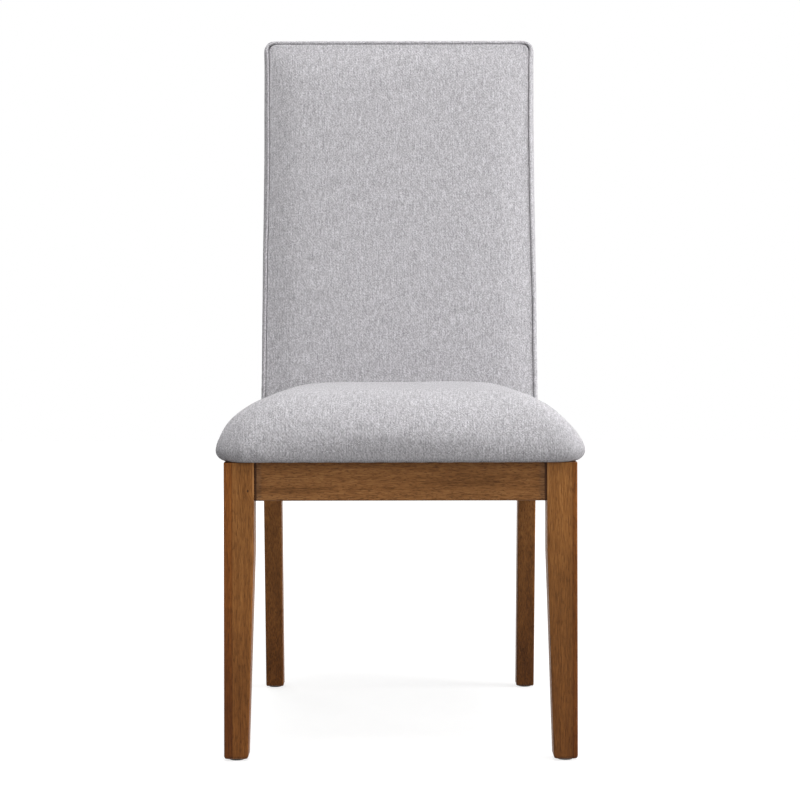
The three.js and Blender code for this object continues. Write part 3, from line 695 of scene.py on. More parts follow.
@dataclass(frozen=True)
class StainedWood(Finish):
    """Satin walnut-brown stain on an open-pored hardwood.

    Attributes:
        grain: Which way the grain runs.
        shift: Moves the pattern, so that no two members match.
        glue_line: Distance from the chair's middle of a glue line, with a redder strip outside.
        ends: Distance from the middle at which the member ends in a glued joint. The joint has a
            dark
        line, partly stain in the joint and partly painted shadow of its gap, and the colour is
        greyer and darker, most on its last centimetre.
        knot_at: Place of a pin knot, across and up.
        arris: Distance from the middle of the edge beside the apron, painted paler as a highlight
            where light would catch it.
        painted_level: How light the member is painted, against the usual: painted light and shade
            that evens out the side lamp, lighter on the left and darker on the right.
        reach: Length of the fibres and pores, against the usual.
        pored: How dark the pores are, from 0 to 1.
    """

    dark: Colour = (0.180, 0.068, 0.0155)
    middle: Colour = (0.308, 0.124, 0.032)
    light: Colour = (0.415, 0.179, 0.051)
    pore: Colour = (0.060, 0.021, 0.005)
    glue: Colour = (0.055, 0.019, 0.005)
    strip: Colour = (0.82, 0.67, 0.49)
    # Tint of the painted shade towards the floor, and the height where that painted shade ends.
    foot: Colour = (0.60, 0.52, 0.42)
    dull: Colour = (0.71, 0.82, 1.25)
    knot: Colour = (0.030, 0.011, 0.004)
    edge_highlight: Colour = (0.62, 0.30, 0.11)
    foot_shade_top: float = 0.36
    arris_up: Pair = (0.335, 0.352)
    grain: Grain = Grain.UPRIGHT
    shift: float = 0.0
    glue_line: float | None = None
    ends: float | None = None
    knot_at: Pair | None = None
    arris: float | None = None
    painted_level: float = 1.0
    reach: float = 1.0
    pored: float = 0.36

    def from_knot(self, graph: Graph, axes: bpy.types.NodeOutputs) -> Socket:
        """Distance from the knot, which is a little longer along the grain.

        Args:
            graph: The graph.
            axes: The place's parts.

        Returns:
            The distance.
        """
        off = graph.math("SUBTRACT", axes["X"], self.knot_at[0])
        rise = graph.math("MULTIPLY", graph.math("SUBTRACT", axes["Z"], self.knot_at[1]), 0.8)
        squares = [graph.math("POWER", way, 2.0) for way in (off, rise)]
        return graph.math("SQRT", graph.math("ADD", *squares))

    def own_axes(self, graph: Graph, axes: bpy.types.NodeOutputs) -> Socket:
        """The place read along the grain, swirled round the knot and cut at the glue line.

        Args:
            graph: The graph.
            axes: The place's parts.

        Returns:
            The place across, into and along the grain.
        """
        wide, deep, long = (axes[letter] for letter in self.grain.value)
        if self.knot_at is not None:
            swirl = graph.spread(self.from_knot(graph, axes), 0.0, 0.011, (0.004, 0.0))
            wide = graph.math("ADD", wide, swirl)
        if self.glue_line is not None:
            out = graph.math("ABSOLUTE", axes["X"])
            other = graph.math("GREATER_THAN", out, self.glue_line)
            wide = graph.math("ADD", wide, graph.math("MULTIPLY", other, 0.37))
        return graph.vector(wide, deep, long)

    def marked(self, graph: Graph, axes: bpy.types.NodeOutputs, colour: Socket) -> Socket:
        """Adds the member's own marks to the wood's colour, with a painted highlight on the edge
        beside the apron and painted shade towards the floor.

        Args:
            graph: The graph.
            axes: The place's parts.
            colour: The wood's colour.

        Returns:
            The colour with its marks.
        """
        out = graph.math("ABSOLUTE", axes["X"])
        if self.glue_line is not None:
            past = graph.math("SUBTRACT", out, self.glue_line)
            colour = graph.tinted(graph.spread(past, -0.0016, 0.0010), colour, self.strip)
            line = graph.spread(graph.math("ABSOLUTE", past), 0.0002, 0.0012, (0.38, 0.0))
            colour = graph.mixed(line, colour, self.glue)
        if self.ends is not None:
            # Greyer, darker colour over the member, strongest on its last centimetre.
            last = graph.spread(out, self.ends - 0.0115, self.ends - 0.0065, (0.42, 1.0))
            colour = graph.tinted(last, colour, self.dull)
            # Dark joint line: partly stain in the joint, partly painted shadow of the gap.
            joint = graph.spread(out, self.ends - 0.0040, self.ends - 0.0024)
            colour = graph.mixed(joint, colour, self.glue)
        if self.arris is not None:
            # Painted highlight: a paler strip on the leg's edge beside the apron, where light would
            # catch the eased edge.
            inside = graph.spread(out, self.arris + 0.001, self.arris + 0.0034, (0.5, 0.0))
            beside = graph.spread(axes["Z"], *self.arris_up)
            colour = graph.mixed(graph.math("MULTIPLY", inside, beside), colour, self.edge_highlight)
        # Painted shade: the colour is tinted darker towards the floor, where less light reaches the
        # legs.
        low = graph.spread(axes["Z"], 0.0, self.foot_shade_top, (1.0, 0.0))
        colour = graph.tinted(low, colour, self.foot)
        if self.knot_at is not None:
            core = graph.spread(self.from_knot(graph, axes), 0.0006, 0.0019, (0.9, 0.0))
            colour = graph.mixed(core, colour, self.knot)
        return colour

    def draw(self, graph: Graph) -> None:
        """Draws growth bands, fibres and pores that run with the grain, then the marks and the
        painted light and shade.
        """
        axes = graph.axes(graph.place())
        wood = self.own_axes(graph, axes)
        wander = graph.noise(wood, (14, 14, 3.2), 1.0, self.shift + 3.1)
        aside = graph.vector(graph.math("MULTIPLY", wander, 0.03))
        bent = graph.add("ShaderNodeVectorMath", {0: wood, 1: aside}, operation="ADD").outputs[0]
        bands = graph.noise(bent, (95, 95, 3.5), 2.0, self.shift)
        fibres = graph.noise(bent, (700, 700, 42 / self.reach), 3.0, self.shift + 1.7)
        pores = graph.noise(bent, (860, 860, 110 / self.reach), 1.0, self.shift + 5.3)
        pores = graph.spread(pores, 0.54, 0.66)
        streaks = graph.noise(bent, (560, 560, 56 / self.reach), 2.0, self.shift + 8.9)
        streaks = graph.spread(streaks, 0.52, 0.68)
        tone = graph.blend(bands, fibres, 0.4)
        colour = graph.ramp(tone, (0.36, self.dark), (0.5, self.middle), (0.64, self.light))
        # Cloudy tone in the wood, scaled by the member's painted level of light and shade.
        clouds = graph.noise(wood, (9, 9, 5), 1.0, self.shift + 4.4)
        level = graph.spread(clouds, 0.3, 0.7, (0.88 * self.painted_level, 1.1 * self.painted_level))
        grey = graph.add("ShaderNodeCombineColor", {0: level, 1: level, 2: level}).outputs[0]
        colour = graph.mixed(1.0, colour, grey, "MULTIPLY")
        colour = graph.mixed(graph.math("MULTIPLY", streaks, 0.35), colour, self.dark)
        colour = graph.mixed(graph.math("MULTIPLY", pores, self.pored), colour, self.pore)
        colour = self.marked(graph, axes, colour)
        satin = graph.spread(fibres, 0.3, 0.7, (0.4, 0.5))
        rough = graph.math("ADD", graph.math("MULTIPLY", pores, 0.22), satin)
        height = graph.math("SUBTRACT", graph.math("MULTIPLY", fibres, 0.35), pores)
        coat = {"Specular_IOR_Level": 0.14, "Coat_Weight": 0.04, "Coat_Roughness": 0.3}
        graph.close(colour, rough, height, 0.00016, **coat)


@dataclass(frozen=True)
class BareTimber(Finish):
    """Planed wood without finish, or plywood where it has plies of some thickness."""

    dark: Colour = (0.43, 0.27, 0.12)
    light: Colour = (0.66, 0.46, 0.24)
    plies: float = 0.0
    shift: float = 0.0

    def draw(self, graph: Graph) -> None:
        """Draws pale fibres that run crossways, and the plies on upright faces."""
        axes = graph.axes(graph.place())
        wood = graph.vector(*(axes[letter] for letter in Grain.CROSSWAYS.value))
        bands = graph.noise(wood, (70, 70, 4), 2.0, self.shift)
        fibres = graph.noise(wood, (700, 700, 20), 2.0, self.shift + 2.3)
        tone = graph.blend(bands, fibres, 0.6)
        colour = graph.ramp(tone, (0.32, self.dark), (0.68, self.light))
        if self.plies:
            layer = graph.math("PINGPONG", axes["Z"], self.plies)
            line = graph.spread(layer, self.plies * 0.35, self.plies * 0.65, (0.0, 0.55))
            normal = graph.add("ShaderNodeNewGeometry").outputs["Normal"]
            up = graph.math("ABSOLUTE", graph.axes(normal)["Z"])
            edge = graph.math("LESS_THAN", up, 0.5)
            colour = graph.mixed(graph.math("MULTIPLY", line, edge), colour, self.dark)
        graph.close(colour, graph.spread(fibres, 0.3, 0.7, (0.62, 0.78)), fibres, 0.0002)


@dataclass(frozen=True)
class Fibreboard(Finish):
    """Brown hardboard, mottled by short flat fibres on its face."""

    dark: Colour = (0.15, 0.085, 0.040)
    light: Colour = (0.30, 0.18, 0.09)

    def draw(self, graph: Graph) -> None:
        """Draws the mottle and the fibres."""
        place = graph.place()
        mottle = graph.noise(place, (240, 240, 240), 4.0)
        fibres = graph.noise(place, (1100, 300, 500), 2.0, 2.0)
        tone = graph.blend(mottle, fibres, 0.6)
        colour = graph.ramp(tone, (0.35, self.dark), (0.65, self.light))
        graph.close(colour, graph.spread(mottle, 0.3, 0.7, (0.6, 0.75)), fibres, 0.0002)


@dataclass(frozen=True)
class Tweed(Finish):
    """Light grey heathered cloth, woven of light, middle and dark yarns.

    Attributes:
        pitch: Width of a warp yarn.
        weft: Width of a weft yarn, against that.
        slub: How much the thicker places of the warp change its shade.
        relief: Depth of the weave.
        turn: How far the cloth is turned, as on piping cut on the bias.
    """

    dark: Colour = (0.205, 0.199, 0.213)
    middle: Colour = (0.528, 0.514, 0.538)
    light: Colour = (0.890, 0.875, 0.902)
    pitch: float = 0.00115
    weft: float = 1.25
    slub: float = 0.62
    relief: float = 0.00045
    turn: float = 0.0

    def draw(self, graph: Graph) -> None:
        """Draws a twill on the flat cloth, with each crossing in its own shade.

        Counted in yarns, the warp lies on top where the sum of the two whole numbers, less a
        multiple of four, is under two. Each yarn swells as the sine of the way across it.
        """
        flat = graph.turned(graph.cloth(), self.turn)
        axes = graph.axes(flat)
        warp = graph.math("DIVIDE", axes["X"], self.pitch)
        weft = graph.math("DIVIDE", axes["Y"], self.pitch * self.weft)
        whole = [graph.math("FLOOR", yarns) for yarns in (warp, weft)]
        above_zero = graph.math("ADD", graph.math("ADD", *whole), 40000.0)
        over = graph.math("LESS_THAN", graph.math("MODULO", above_zero, 4.0), 1.5)
        cell = {0: graph.vector(*whole)}
        fleck = graph.add("ShaderNodeTexWhiteNoise", cell, noise_dimensions="2D").outputs[0]
        tone = graph.math("MULTIPLY_ADD", fleck, 0.47, 0.265)
        tone = graph.swayed(tone, over, 0.06)
        tone = graph.swayed(tone, graph.noise(flat, (620, 52, 1), 1.0), self.slub)
        tone = graph.swayed(tone, graph.noise(flat, (60, 34, 1), 1.0, 6.0), 0.06)
        colour = graph.ramp(tone, (0.0, self.dark), (0.5, self.middle), (1.0, self.light))
        turns = [graph.math("MULTIPLY", yarns, math.pi) for yarns in (warp, weft)]
        swell = [graph.math("ABSOLUTE", graph.math("SINE", turn)) for turn in turns]
        lifted = graph.math("MULTIPLY_ADD", over, 0.5, graph.math("MULTIPLY", *swell))
        height = graph.math("MULTIPLY_ADD", fleck, 0.5, lifted)
        fuzz = {"Specular_IOR_Level": 0.25, "Sheen_Weight": 0.12, "Sheen_Roughness": 0.45}
        graph.close(colour, 0.92, height, self.relief, **fuzz)


@dataclass(frozen=True)
class Foam(Finish):
    """Cream polyurethane foam."""

    dark: Colour = (0.62, 0.53, 0.30)
    light: Colour = (0.80, 0.72, 0.46)

    def draw(self, graph: Graph) -> None:
        """Draws open cells of about a millimetre."""
        feeds = {"Vector": graph.place(), "Scale": 900.0}
        cells = graph.add("ShaderNodeTexVoronoi", feeds).outputs[0]
        colour = graph.mixed(graph.spread(cells, 0.2, 0.8), self.dark, self.light)
        graph.close(colour, 0.95, cells, 0.0004)


@dataclass(frozen=True)
class Wadding(Finish):
    """White polyester wadding."""

    dark: Colour = (0.70, 0.69, 0.66)
    light: Colour = (0.86, 0.85, 0.82)

    def draw(self, graph: Graph) -> None:
        """Draws soft tufts of tangled fibre."""
        tufts = graph.noise(graph.place(), (260, 260, 180), 5.0)
        colour = graph.mixed(graph.spread(tufts, 0.35, 0.65), self.dark, self.light)
        graph.close(colour, 0.98, tufts, 0.0012)


@dataclass(frozen=True)
class Webbing(Finish):
    """Black elastic webbing."""

    dark: Colour = (0.014, 0.014, 0.016)
    light: Colour = (0.050, 0.050, 0.055)
    rib: float = 0.0022

    def draw(self, graph: Graph) -> None:
        """Draws its ribs, which swell as sines across and along the strap."""
        ribs = graph.math("MULTIPLY_ADD", graph.waves(graph.cloth(), self.rib), 0.5, 0.5)
        graph.close(graph.mixed(ribs, self.dark, self.light), 0.85, ribs, 0.0004)


@dataclass(frozen=True)
class Cambric(Finish):
    """Thin black dust-cover cloth, pressed in a fine dimple pattern."""

    dark: Colour = (0.009, 0.009, 0.010)
    light: Colour = (0.026, 0.026, 0.028)
    dimple: float = 0.0018

    def draw(self, graph: Graph) -> None:
        """Draws dimples on a diagonal grid with loose fibres between them."""
        flat = graph.cloth()
        waves = graph.waves(graph.turned(flat, math.pi / 4), self.dimple)
        dots = graph.spread(waves, 0.1, 0.9)
        tone = graph.blend(dots, graph.noise(flat, (900, 900, 1), 3.0), 0.5)
        graph.close(graph.mixed(tone, self.dark, self.light), 0.9, dots, 0.0002)


@dataclass(frozen=True)
class ZincSteel(Finish):
    """Zinc-plated steel."""

    dark: Colour = (0.40, 0.42, 0.44)
    light: Colour = (0.60, 0.61, 0.62)

    def draw(self, graph: Graph) -> None:
        """Draws cloudy plating with fine scratches."""
        place = graph.place()
        clouds = graph.noise(place, (320, 320, 320), 3.0)
        scratches = graph.noise(place, (2600, 2600, 400), 2.0, 1.0)
        rough = graph.spread(scratches, 0.3, 0.7, (0.26, 0.44))
        colour = graph.mixed(clouds, self.dark, self.light)
        graph.close(colour, rough, scratches, 0.00004, Metallic=1.0)


@dataclass(frozen=True)
class Nylon(Finish):
    """Brown nylon, paler where the floor has scuffed it."""

    dark: Colour = (0.042, 0.030, 0.019)
    light: Colour = (0.11, 0.085, 0.06)

    def draw(self, graph: Graph) -> None:
        """Draws scuffs that run across the sole."""
        scuffs = graph.noise(graph.place(), (900, 300, 300), 3.0)
        scuffs = graph.spread(scuffs, 0.5, 0.75, (0.0, 0.7))
        rough = graph.math("MULTIPLY_ADD", scuffs, 0.3, 0.42)
        graph.close(graph.mixed(scuffs, self.dark, self.light), rough, scuffs, 0.0001)


class Workshop:
    """The finishes that several pieces share."""

    def __init__(self) -> None:
        """Makes each shared finish once."""
        bias = Tweed(slub=0.3, pitch=0.0012, turn=math.pi / 4)
        self.tweed = Tweed().material("grey_tweed")
        self.piping = bias.material("grey_tweed_on_the_bias")
        self.foam = Foam().material("cream_foam")
        self.wadding = Wadding().material("white_wadding")
        self.webbing = Webbing().material("black_webbing")
        self.cambric = Cambric().material("black_cambric")
        self.steel = ZincSteel().material("zinc_steel_plate")
        self.nylon = Nylon().material("brown_nylon")


# The chair's own pieces


@dataclass
class Upholstery:
    """Sizes that the seat and the back share."""

    front_face: float
    rail_top: float = 0.388
    seat_depth: float = 0.4165
    recline: float = math.radians(8.5)
    slope: float = 0.22
    shoulder_ease: float = 0.008
    seam: float = 0.0003
    cloth: float = 0.0015


@dataclass(frozen=True)
class Staple:
    """A fine-wire staple under the seat: a crown and two legs that go up into the board."""

    half: float = 0.0048
    leg: float = 0.0024
    bend_up: float = 0.0003
    bend_in: float = 0.0004
    wire: float = 0.0003
    sides: int = 6

    def form(self) -> Array:
        """Carries a circle along the wire, square to it at each of its six stations.

        Returns:
            The points, along the crown, across it and up.
        """
        inner = self.half - self.bend_in
        along = np.array([-self.half, -self.half, -inner, inner, self.half, self.half])
        up = np.array([self.leg, self.bend_up, 0.0, 0.0, self.bend_up, self.leg]) - self.wire
        inward = np.array([[1, 0], [1, -0.4], [0.4, -1], [-0.4, -1], [-1, -0.4], [-1, 0]], float)
        inward /= np.linalg.norm(inward, axis=1, keepdims=True)
        angle = np.arange(self.sides) * math.tau / self.sides
        sine, cosine = self.wire * np.sin(angle), self.wire * np.cos(angle)
        x = along[:, None] + inward[:, :1] * sine
        z = up[:, None] + inward[:, 1:] * sine
        return np.stack(np.broadcast_arrays(x, cosine, z), -1).reshape(-1, 3)

    def row(self, name: str, place: Array, normal: Array, height: float) -> Piece:
        """Makes one piece of many staples, each set along an edge.

        Args:
            name: The piece's name.
            place: Where each staple is.
            normal: The edge's outward normal there.
            height: Height of the cloth that they hold.

        Returns:
            The piece.
        """
        form = self.form()
        tangent = np.stack([-normal[:, 1], normal[:, 0]], -1)
        flat = place[:, None] + tangent[:, None] * form[:, :1] + normal[:, None] * form[:, 1:2]
        points = raised(flat, form[:, 2] + height).reshape(-1, 3)
        rings = len(form) // self.sides
        return new_piece(name, points, tube_faces(rings, self.sides, len(place)))


@dataclass
class SeatCushion(Upholstery):
    """The crowned seat: its cover, the foam in it, and what closes it underneath."""

    half_width: float = 0.2446
    overhang: float = 0.010
    corner: float = 0.035
    least_corner: float = 0.006
    taper: float = 0.05607
    crest: float = 0.190
    rear_run: float = 0.308
    crown_rise: float = 0.0753
    power: float = 6.0
    edge_power: float = 1.3
    widest_rise: float = 0.0158
    tuck: float = 0.0165
    lip: float = 0.0285
    board_top: float = 0.4021
    tongue_half: float = 0.1653
    shoulder: float = 0.162
    follow_slack: float = 0.0008
    follow_most: float = 0.0075
    crown_rings: int = 34
    under_rings: int = 5
    lip_rings: int = 4
    shrink: float = 0.0006
    foam_room: float = 0.0025
    sag: float = 0.0016
    sag_half: float = 0.196
    sag_ease: float = 0.022
    belly: float = 0.70
    belly_half: float = 0.226
    bulge: float = 0.0095
    bulge_low: float = 0.399
    bulge_rise: float = 0.034
    lean: float = 0.0033
    fold: float = 0.0007
    fold_centre: Pair = (0.205, 0.028)
    swelling: Swelling = Swelling(cap=0.0014, give=0.0002)

    @property
    def base(self) -> float:
        """Height of the cover's underside."""
        return self.rail_top + self.seam

    @property
    def widest(self) -> float:
        """Height of the widest line."""
        return self.base + self.widest_rise

    def plan(self, share: Array, inset: float, rear: float) -> Ways:
        """The outline in plan, narrowing to the rear by the taper.

        Args:
            share: How far round.
            inset: How far it is drawn in at the front and sides.
            rear: Where it ends.

        Returns:
            The points and the outline's normals.
        """
        half = self.half_width - inset
        corner = max(self.corner - inset, self.least_corner)
        outline = RoundedOutline(-half, half, inset - self.overhang, rear, corner)
        points, normals = outline.at(share)
        points[..., 0] *= 1 - self.taper * points[..., 1] / half
        return points, normals

    def crown_shares(self, last: float) -> Array:
        """Shares of the way from the crest to the widest line, evenly spaced over the crown.

        Over an angle from 0 to a quarter turn, the share is the sine to the power of two over
        the crown's own power, and the rise is the cosine to two over the edge's power.

        Args:
            last: The share at which the crown stops.

        Returns:
            One share for each ring.
        """
        angle = np.linspace(0, math.pi / 2, 2000)
        share = np.sin(angle) ** (2 / self.power)
        reach = (self.crest + self.overhang) * share
        height = self.crown_rise * np.clip(np.cos(angle), 0, 1) ** (2 / self.edge_power)
        length = np.concatenate([[0], np.cumsum(np.hypot(np.diff(reach), np.diff(height)))])
        even = np.linspace(0, np.interp(last, share, length), self.crown_rings + 1)
        return np.interp(even, length, share)

    def crown(self, share: Array, inset: float, last: float = 1.0) -> Ways:
        """The ways out from the crest, over the crown, to the widest line.

        The height is the rise times what is left of 1 less the share to the crown's power, to
        1 over the edge's power.

        Args:
            share: How far round each way lies.
            inset: How far the form is drawn in.
            last: Share of the way out at which the crown stops.

        Returns:
            Places on the way out and the outline's normals.
        """
        edge, normals = self.plan(share, inset, self.crest + self.rear_run - inset)
        out = self.crown_shares(last)[:, None, None]
        peak = np.array([0.0, self.crest])
        left = np.clip(1 - out[..., 0] ** self.power, 0, 1)
        rise = (self.crown_rise - inset) * left ** (1 / self.edge_power)
        return raised(peak + (edge - peak) * out, self.widest + rise), normals

    def underside(self, share: Array) -> Array:
        """The ways on from the widest line: a quarter round inwards, then the lip.

        Args:
            share: How far round each way lies.

        Returns:
            Places on the ways, ring by ring.
        """
        rear = self.crest + self.rear_run
        lip_rear = self.rear_at(self.base, self.seam) - self.lip
        rows = []
        for step in range(1, self.under_rings + 1):
            angle = step / self.under_rings * math.pi / 2
            height = self.widest - self.widest_rise * math.sin(angle)
            rows.append((self.tuck * (1 - math.cos(angle)), rear, height))
        start = rows[-1][0]
        for step in range(1, self.lip_rings + 1):
            part = step / self.lip_rings
            rows.append((start + self.lip * part, rear + (lip_rear - rear) * part, self.base))
        return np.stack([raised(self.plan(share, draw, end)[0], up) for draw, end, up in rows])

    def rear_at(self, height: Array | float, distance: float) -> Array | float:
        """Depth of the seat's rear end, a distance in front of the back's face, at a height."""
        lean = math.tan(self.recline) * (height - self.rail_top)
        return self.seat_depth - distance / math.cos(self.recline) + lean

    def held_in(self, points: Array, distance: float, ease: float) -> Array:
        """Sets points in the chair, with none behind the back's face.

        Towards the sides that face falls back, by its slope times how far out a point lies past
        the shoulder, with a soft start.

        Args:
            points: The points.
            distance: How far in front of the face they stay.
            ease: How far before it they begin to bend.

        Returns:
            The set points.
        """
        points = points.copy()
        out = (np.abs(points[:, 0]) - self.shoulder) / self.shoulder_ease
        fall = self.slope * self.shoulder_ease * soft_start(out)
        follow = np.clip(fall - self.follow_slack, 0, self.follow_most)
        limit = self.rear_at(points[:, 2], distance) + follow
        points[:, 1] = soft_below(points[:, 1], limit, ease)
        points[:, 1] += self.front_face
        return points

    def lifted(self, x: Array, depth: Array, z: Array) -> Array:
        """How far up the hand leaves each point, or down where it is negative.

        The front roll sags between the legs by a smooth step, and tacks pull on its edge as a
        sine. The crown swells and sinks by a sum of slow sines.

        Args:
            x: How far across.
            depth: How far behind the front face.
            z: Height.

        Returns:
            The move upwards.
        """
        along = part_of(self.sag_half - np.abs(x), self.sag_ease)
        front = part_of(-0.0004 - depth, 0.004) * part_of(0.425 - z, 0.03)
        low = part_of(self.widest + 0.004 - z, 0.010)
        sag = self.sag * along**2 * (3 - 2 * along) * (0.45 * front + 0.55 * front * low)
        slow = 0.0006 * np.sin(17 * x + 1.1) * np.sin(21 * depth + 0.4)
        slow += 0.0004 * np.sin(43 * x + 31 * depth) + 0.0003 * np.sin(61 * depth - 29 * x + 2)
        tacks = 0.0002 * np.sin(x * 2 * math.pi / 0.034) * bell(z - self.base, 0.008)
        return slow * part_of(z - self.widest, 0.04) - sag + tacks * (depth < 0.03) * along

    def forward(self, x: Array, depth: Array, z: Array) -> Array:
        """How far to the front the filling pushes each point.

        The roll's underside stands forward by a share of how far it was tucked in. The middle
        of the front stands fuller, by the hyperbolic tangent of the height over its widest line
        and a small hump.

        Args:
            x: How far across.
            depth: How far behind the front face.
            z: Height.

        Returns:
            The move to the front.
        """
        tucked = np.clip(depth + self.overhang, 0, None)
        under = part_of(self.widest + 0.003 - z, 0.008)
        under *= part_of(self.belly_half - np.abs(x), self.sag_ease)
        fade = np.clip(1 - (tucked - self.tuck) / self.lip, 0, 1)
        belly = self.belly * np.minimum(tucked, self.tuck) * fade * under
        full = self.bulge * np.tanh(np.clip(z - self.bulge_low, 0, None) / self.bulge_rise)
        full += 0.0020 * bell(z - 0.424, 0.017)
        return belly + full * bell(x, 0.15) * part_of(0.17 - depth, 0.12)

    def folds(self, x: Array, depth: Array, z: Array) -> Ways:
        """Folds that run up from the front corners, as sines of the way round the corner.

        Args:
            x: How far across.
            depth: How far behind the front face.
            z: Height.

        Returns:
            The moves across and into the chair.
        """
        aside, into = np.abs(x) - self.fold_centre[0], depth - self.fold_centre[1]
        away = np.hypot(aside, into)
        wave = self.fold * np.sin(np.arctan2(into, aside) * 11 + 0.6 * np.sign(x))
        wave *= bell(away - 0.034, 0.016) * bell(z - 0.404, 0.016) / np.maximum(away, 1e-6)
        return wave * aside * np.sign(x), wave * into

    def drawn(self, points: Array) -> Array:
        """Adds what the hand leaves in the cloth, with the crown's shoulders leaning in a little.

        Args:
            points: The cover's points.

        Returns:
            The moved points.
        """
        x, y, z = points.T
        depth = y - self.front_face
        across, into = self.folds(x, depth, z)
        across -= self.lean * bell(z - 0.446, 0.022) * part_of(np.abs(x), 0.2) ** 2
        into -= self.forward(x, depth, z)
        return points + np.stack([across, into, self.lifted(x, depth, z)], -1)

    def off_the_tongue(self, points: Array, faces: Array) -> Array:
        """Leaves out the faces where the board's tongue passes under the back.

        Args:
            points: The cover's points.
            faces: Its faces.

        Returns:
            The other faces.
        """
        x, y, z = points[faces].mean(1).T
        rear = y - self.front_face > self.rear_at(z, 0.007)
        slot = rear & (np.abs(x) < self.tongue_half) & (z > self.base + 0.001)
        return faces[~(slot & (z < self.board_top + self.seam))]

    def add_cover(self, tweed: Material) -> None:
        """Adds the cover: one cloth over the crown, round the edge and under the board.

        Args:
            tweed: Its material.
        """
        grid = SquareGrid(self.crown_rings + self.under_rings + self.lip_rings)
        ring, share = grid.places()
        crown, normals = self.crown(share, self.shrink)
        path = np.concatenate([crown, self.underside(share)])
        points, flat = carried(path, normals, ring)
        points = self.held_in(points, self.seam, 0.004)
        faces = self.off_the_tongue(points, grid.faces())
        used = np.unique(faces)
        renumber = np.zeros(len(points), int)
        renumber[used] = np.arange(len(used))
        points, ring = points[used], ring[used]
        piece = new_piece("seat_cushion_cover", points, renumber[faces], flat[used])
        depth = points[:, 1] - self.front_face
        held = (ring > self.crown_rings + 1) | (depth > self.rear_at(points[:, 2], 0.010))
        self.swelling.apply(piece, held)
        piece.data.vertices.foreach_set("co", self.drawn(read_points(piece.data)).ravel())
        divided(piece)
        walled(piece, self.cloth)
        kept(piece, tweed, "grey_fabric", "seat_cover")

    def add_foam(self, foam: Material) -> None:
        """Adds the foam block on the board, a closed crown inside the cover.

        Args:
            foam: Its material.
        """
        inset = self.cloth + self.shrink + self.foam_room
        low = self.board_top + self.seam
        rise = max(0.0, low - self.widest) / (self.crown_rise - inset)
        grid = SquareGrid(self.crown_rings)
        ring, share = grid.places()
        last = (1 - rise**self.edge_power) ** (1 / self.power)
        path, normals = self.crown(share, inset, last)
        path[-1, :, 2] = low
        points, flat = carried(path, normals, ring)
        points = self.held_in(points, inset + self.seam, 0.003)
        piece = new_piece("seat_foam_block", *closed_below(grid, points, flat))
        kept(piece, foam, "foam", "seat_foam")

    def add_dust_cover(self, cambric: Material, steel: Material) -> None:
        """Adds the dust cover inside the lip, sinking a little in the middle, and its staples.

        Args:
            cambric: Its material.
            steel: The staples' material.
        """
        grid = SquareGrid(20)
        ring, share = grid.places()
        thickness, room, margin = 0.0008, 0.001, 0.006
        draw = self.tuck + self.lip + room
        rear = self.rear_at(self.base, self.seam) - self.lip - room
        edge, _ = self.plan(share, draw, rear)
        middle = np.array([0.0, (rear + draw - self.overhang) / 2])
        out = ring / grid.rings
        flat = middle + (edge - middle) * out[:, None]
        top = self.base + self.cloth
        sunk = 0.0022 * (1 - out**2) ** 2 - 0.0003 * np.sin(70 * flat[:, 0]) * (1 - out)
        points = raised(flat + [0, self.front_face], top - sunk)
        piece = new_piece("seat_dust_cloth", points, grid.faces(), flat)
        walled(piece, thickness)
        kept(piece, cambric, "cambric", "seat_dust_cover")
        count = 44
        place, normal = self.plan((np.arange(count) + 0.5) / count, draw + margin, rear - margin)
        place = place + [0.0, self.front_face]
        staples = Staple().row("dust_cloth_staples", place, normal, top - thickness)
        kept(staples, steel, "zinc_steel")

    def build(self, shop: Workshop) -> None:
        """Adds the whole seat.

        Args:
            shop: The finishes.
        """
        self.add_cover(shop.tweed)
        self.add_foam(shop.foam)
        self.add_dust_cover(shop.cambric, shop.steel)


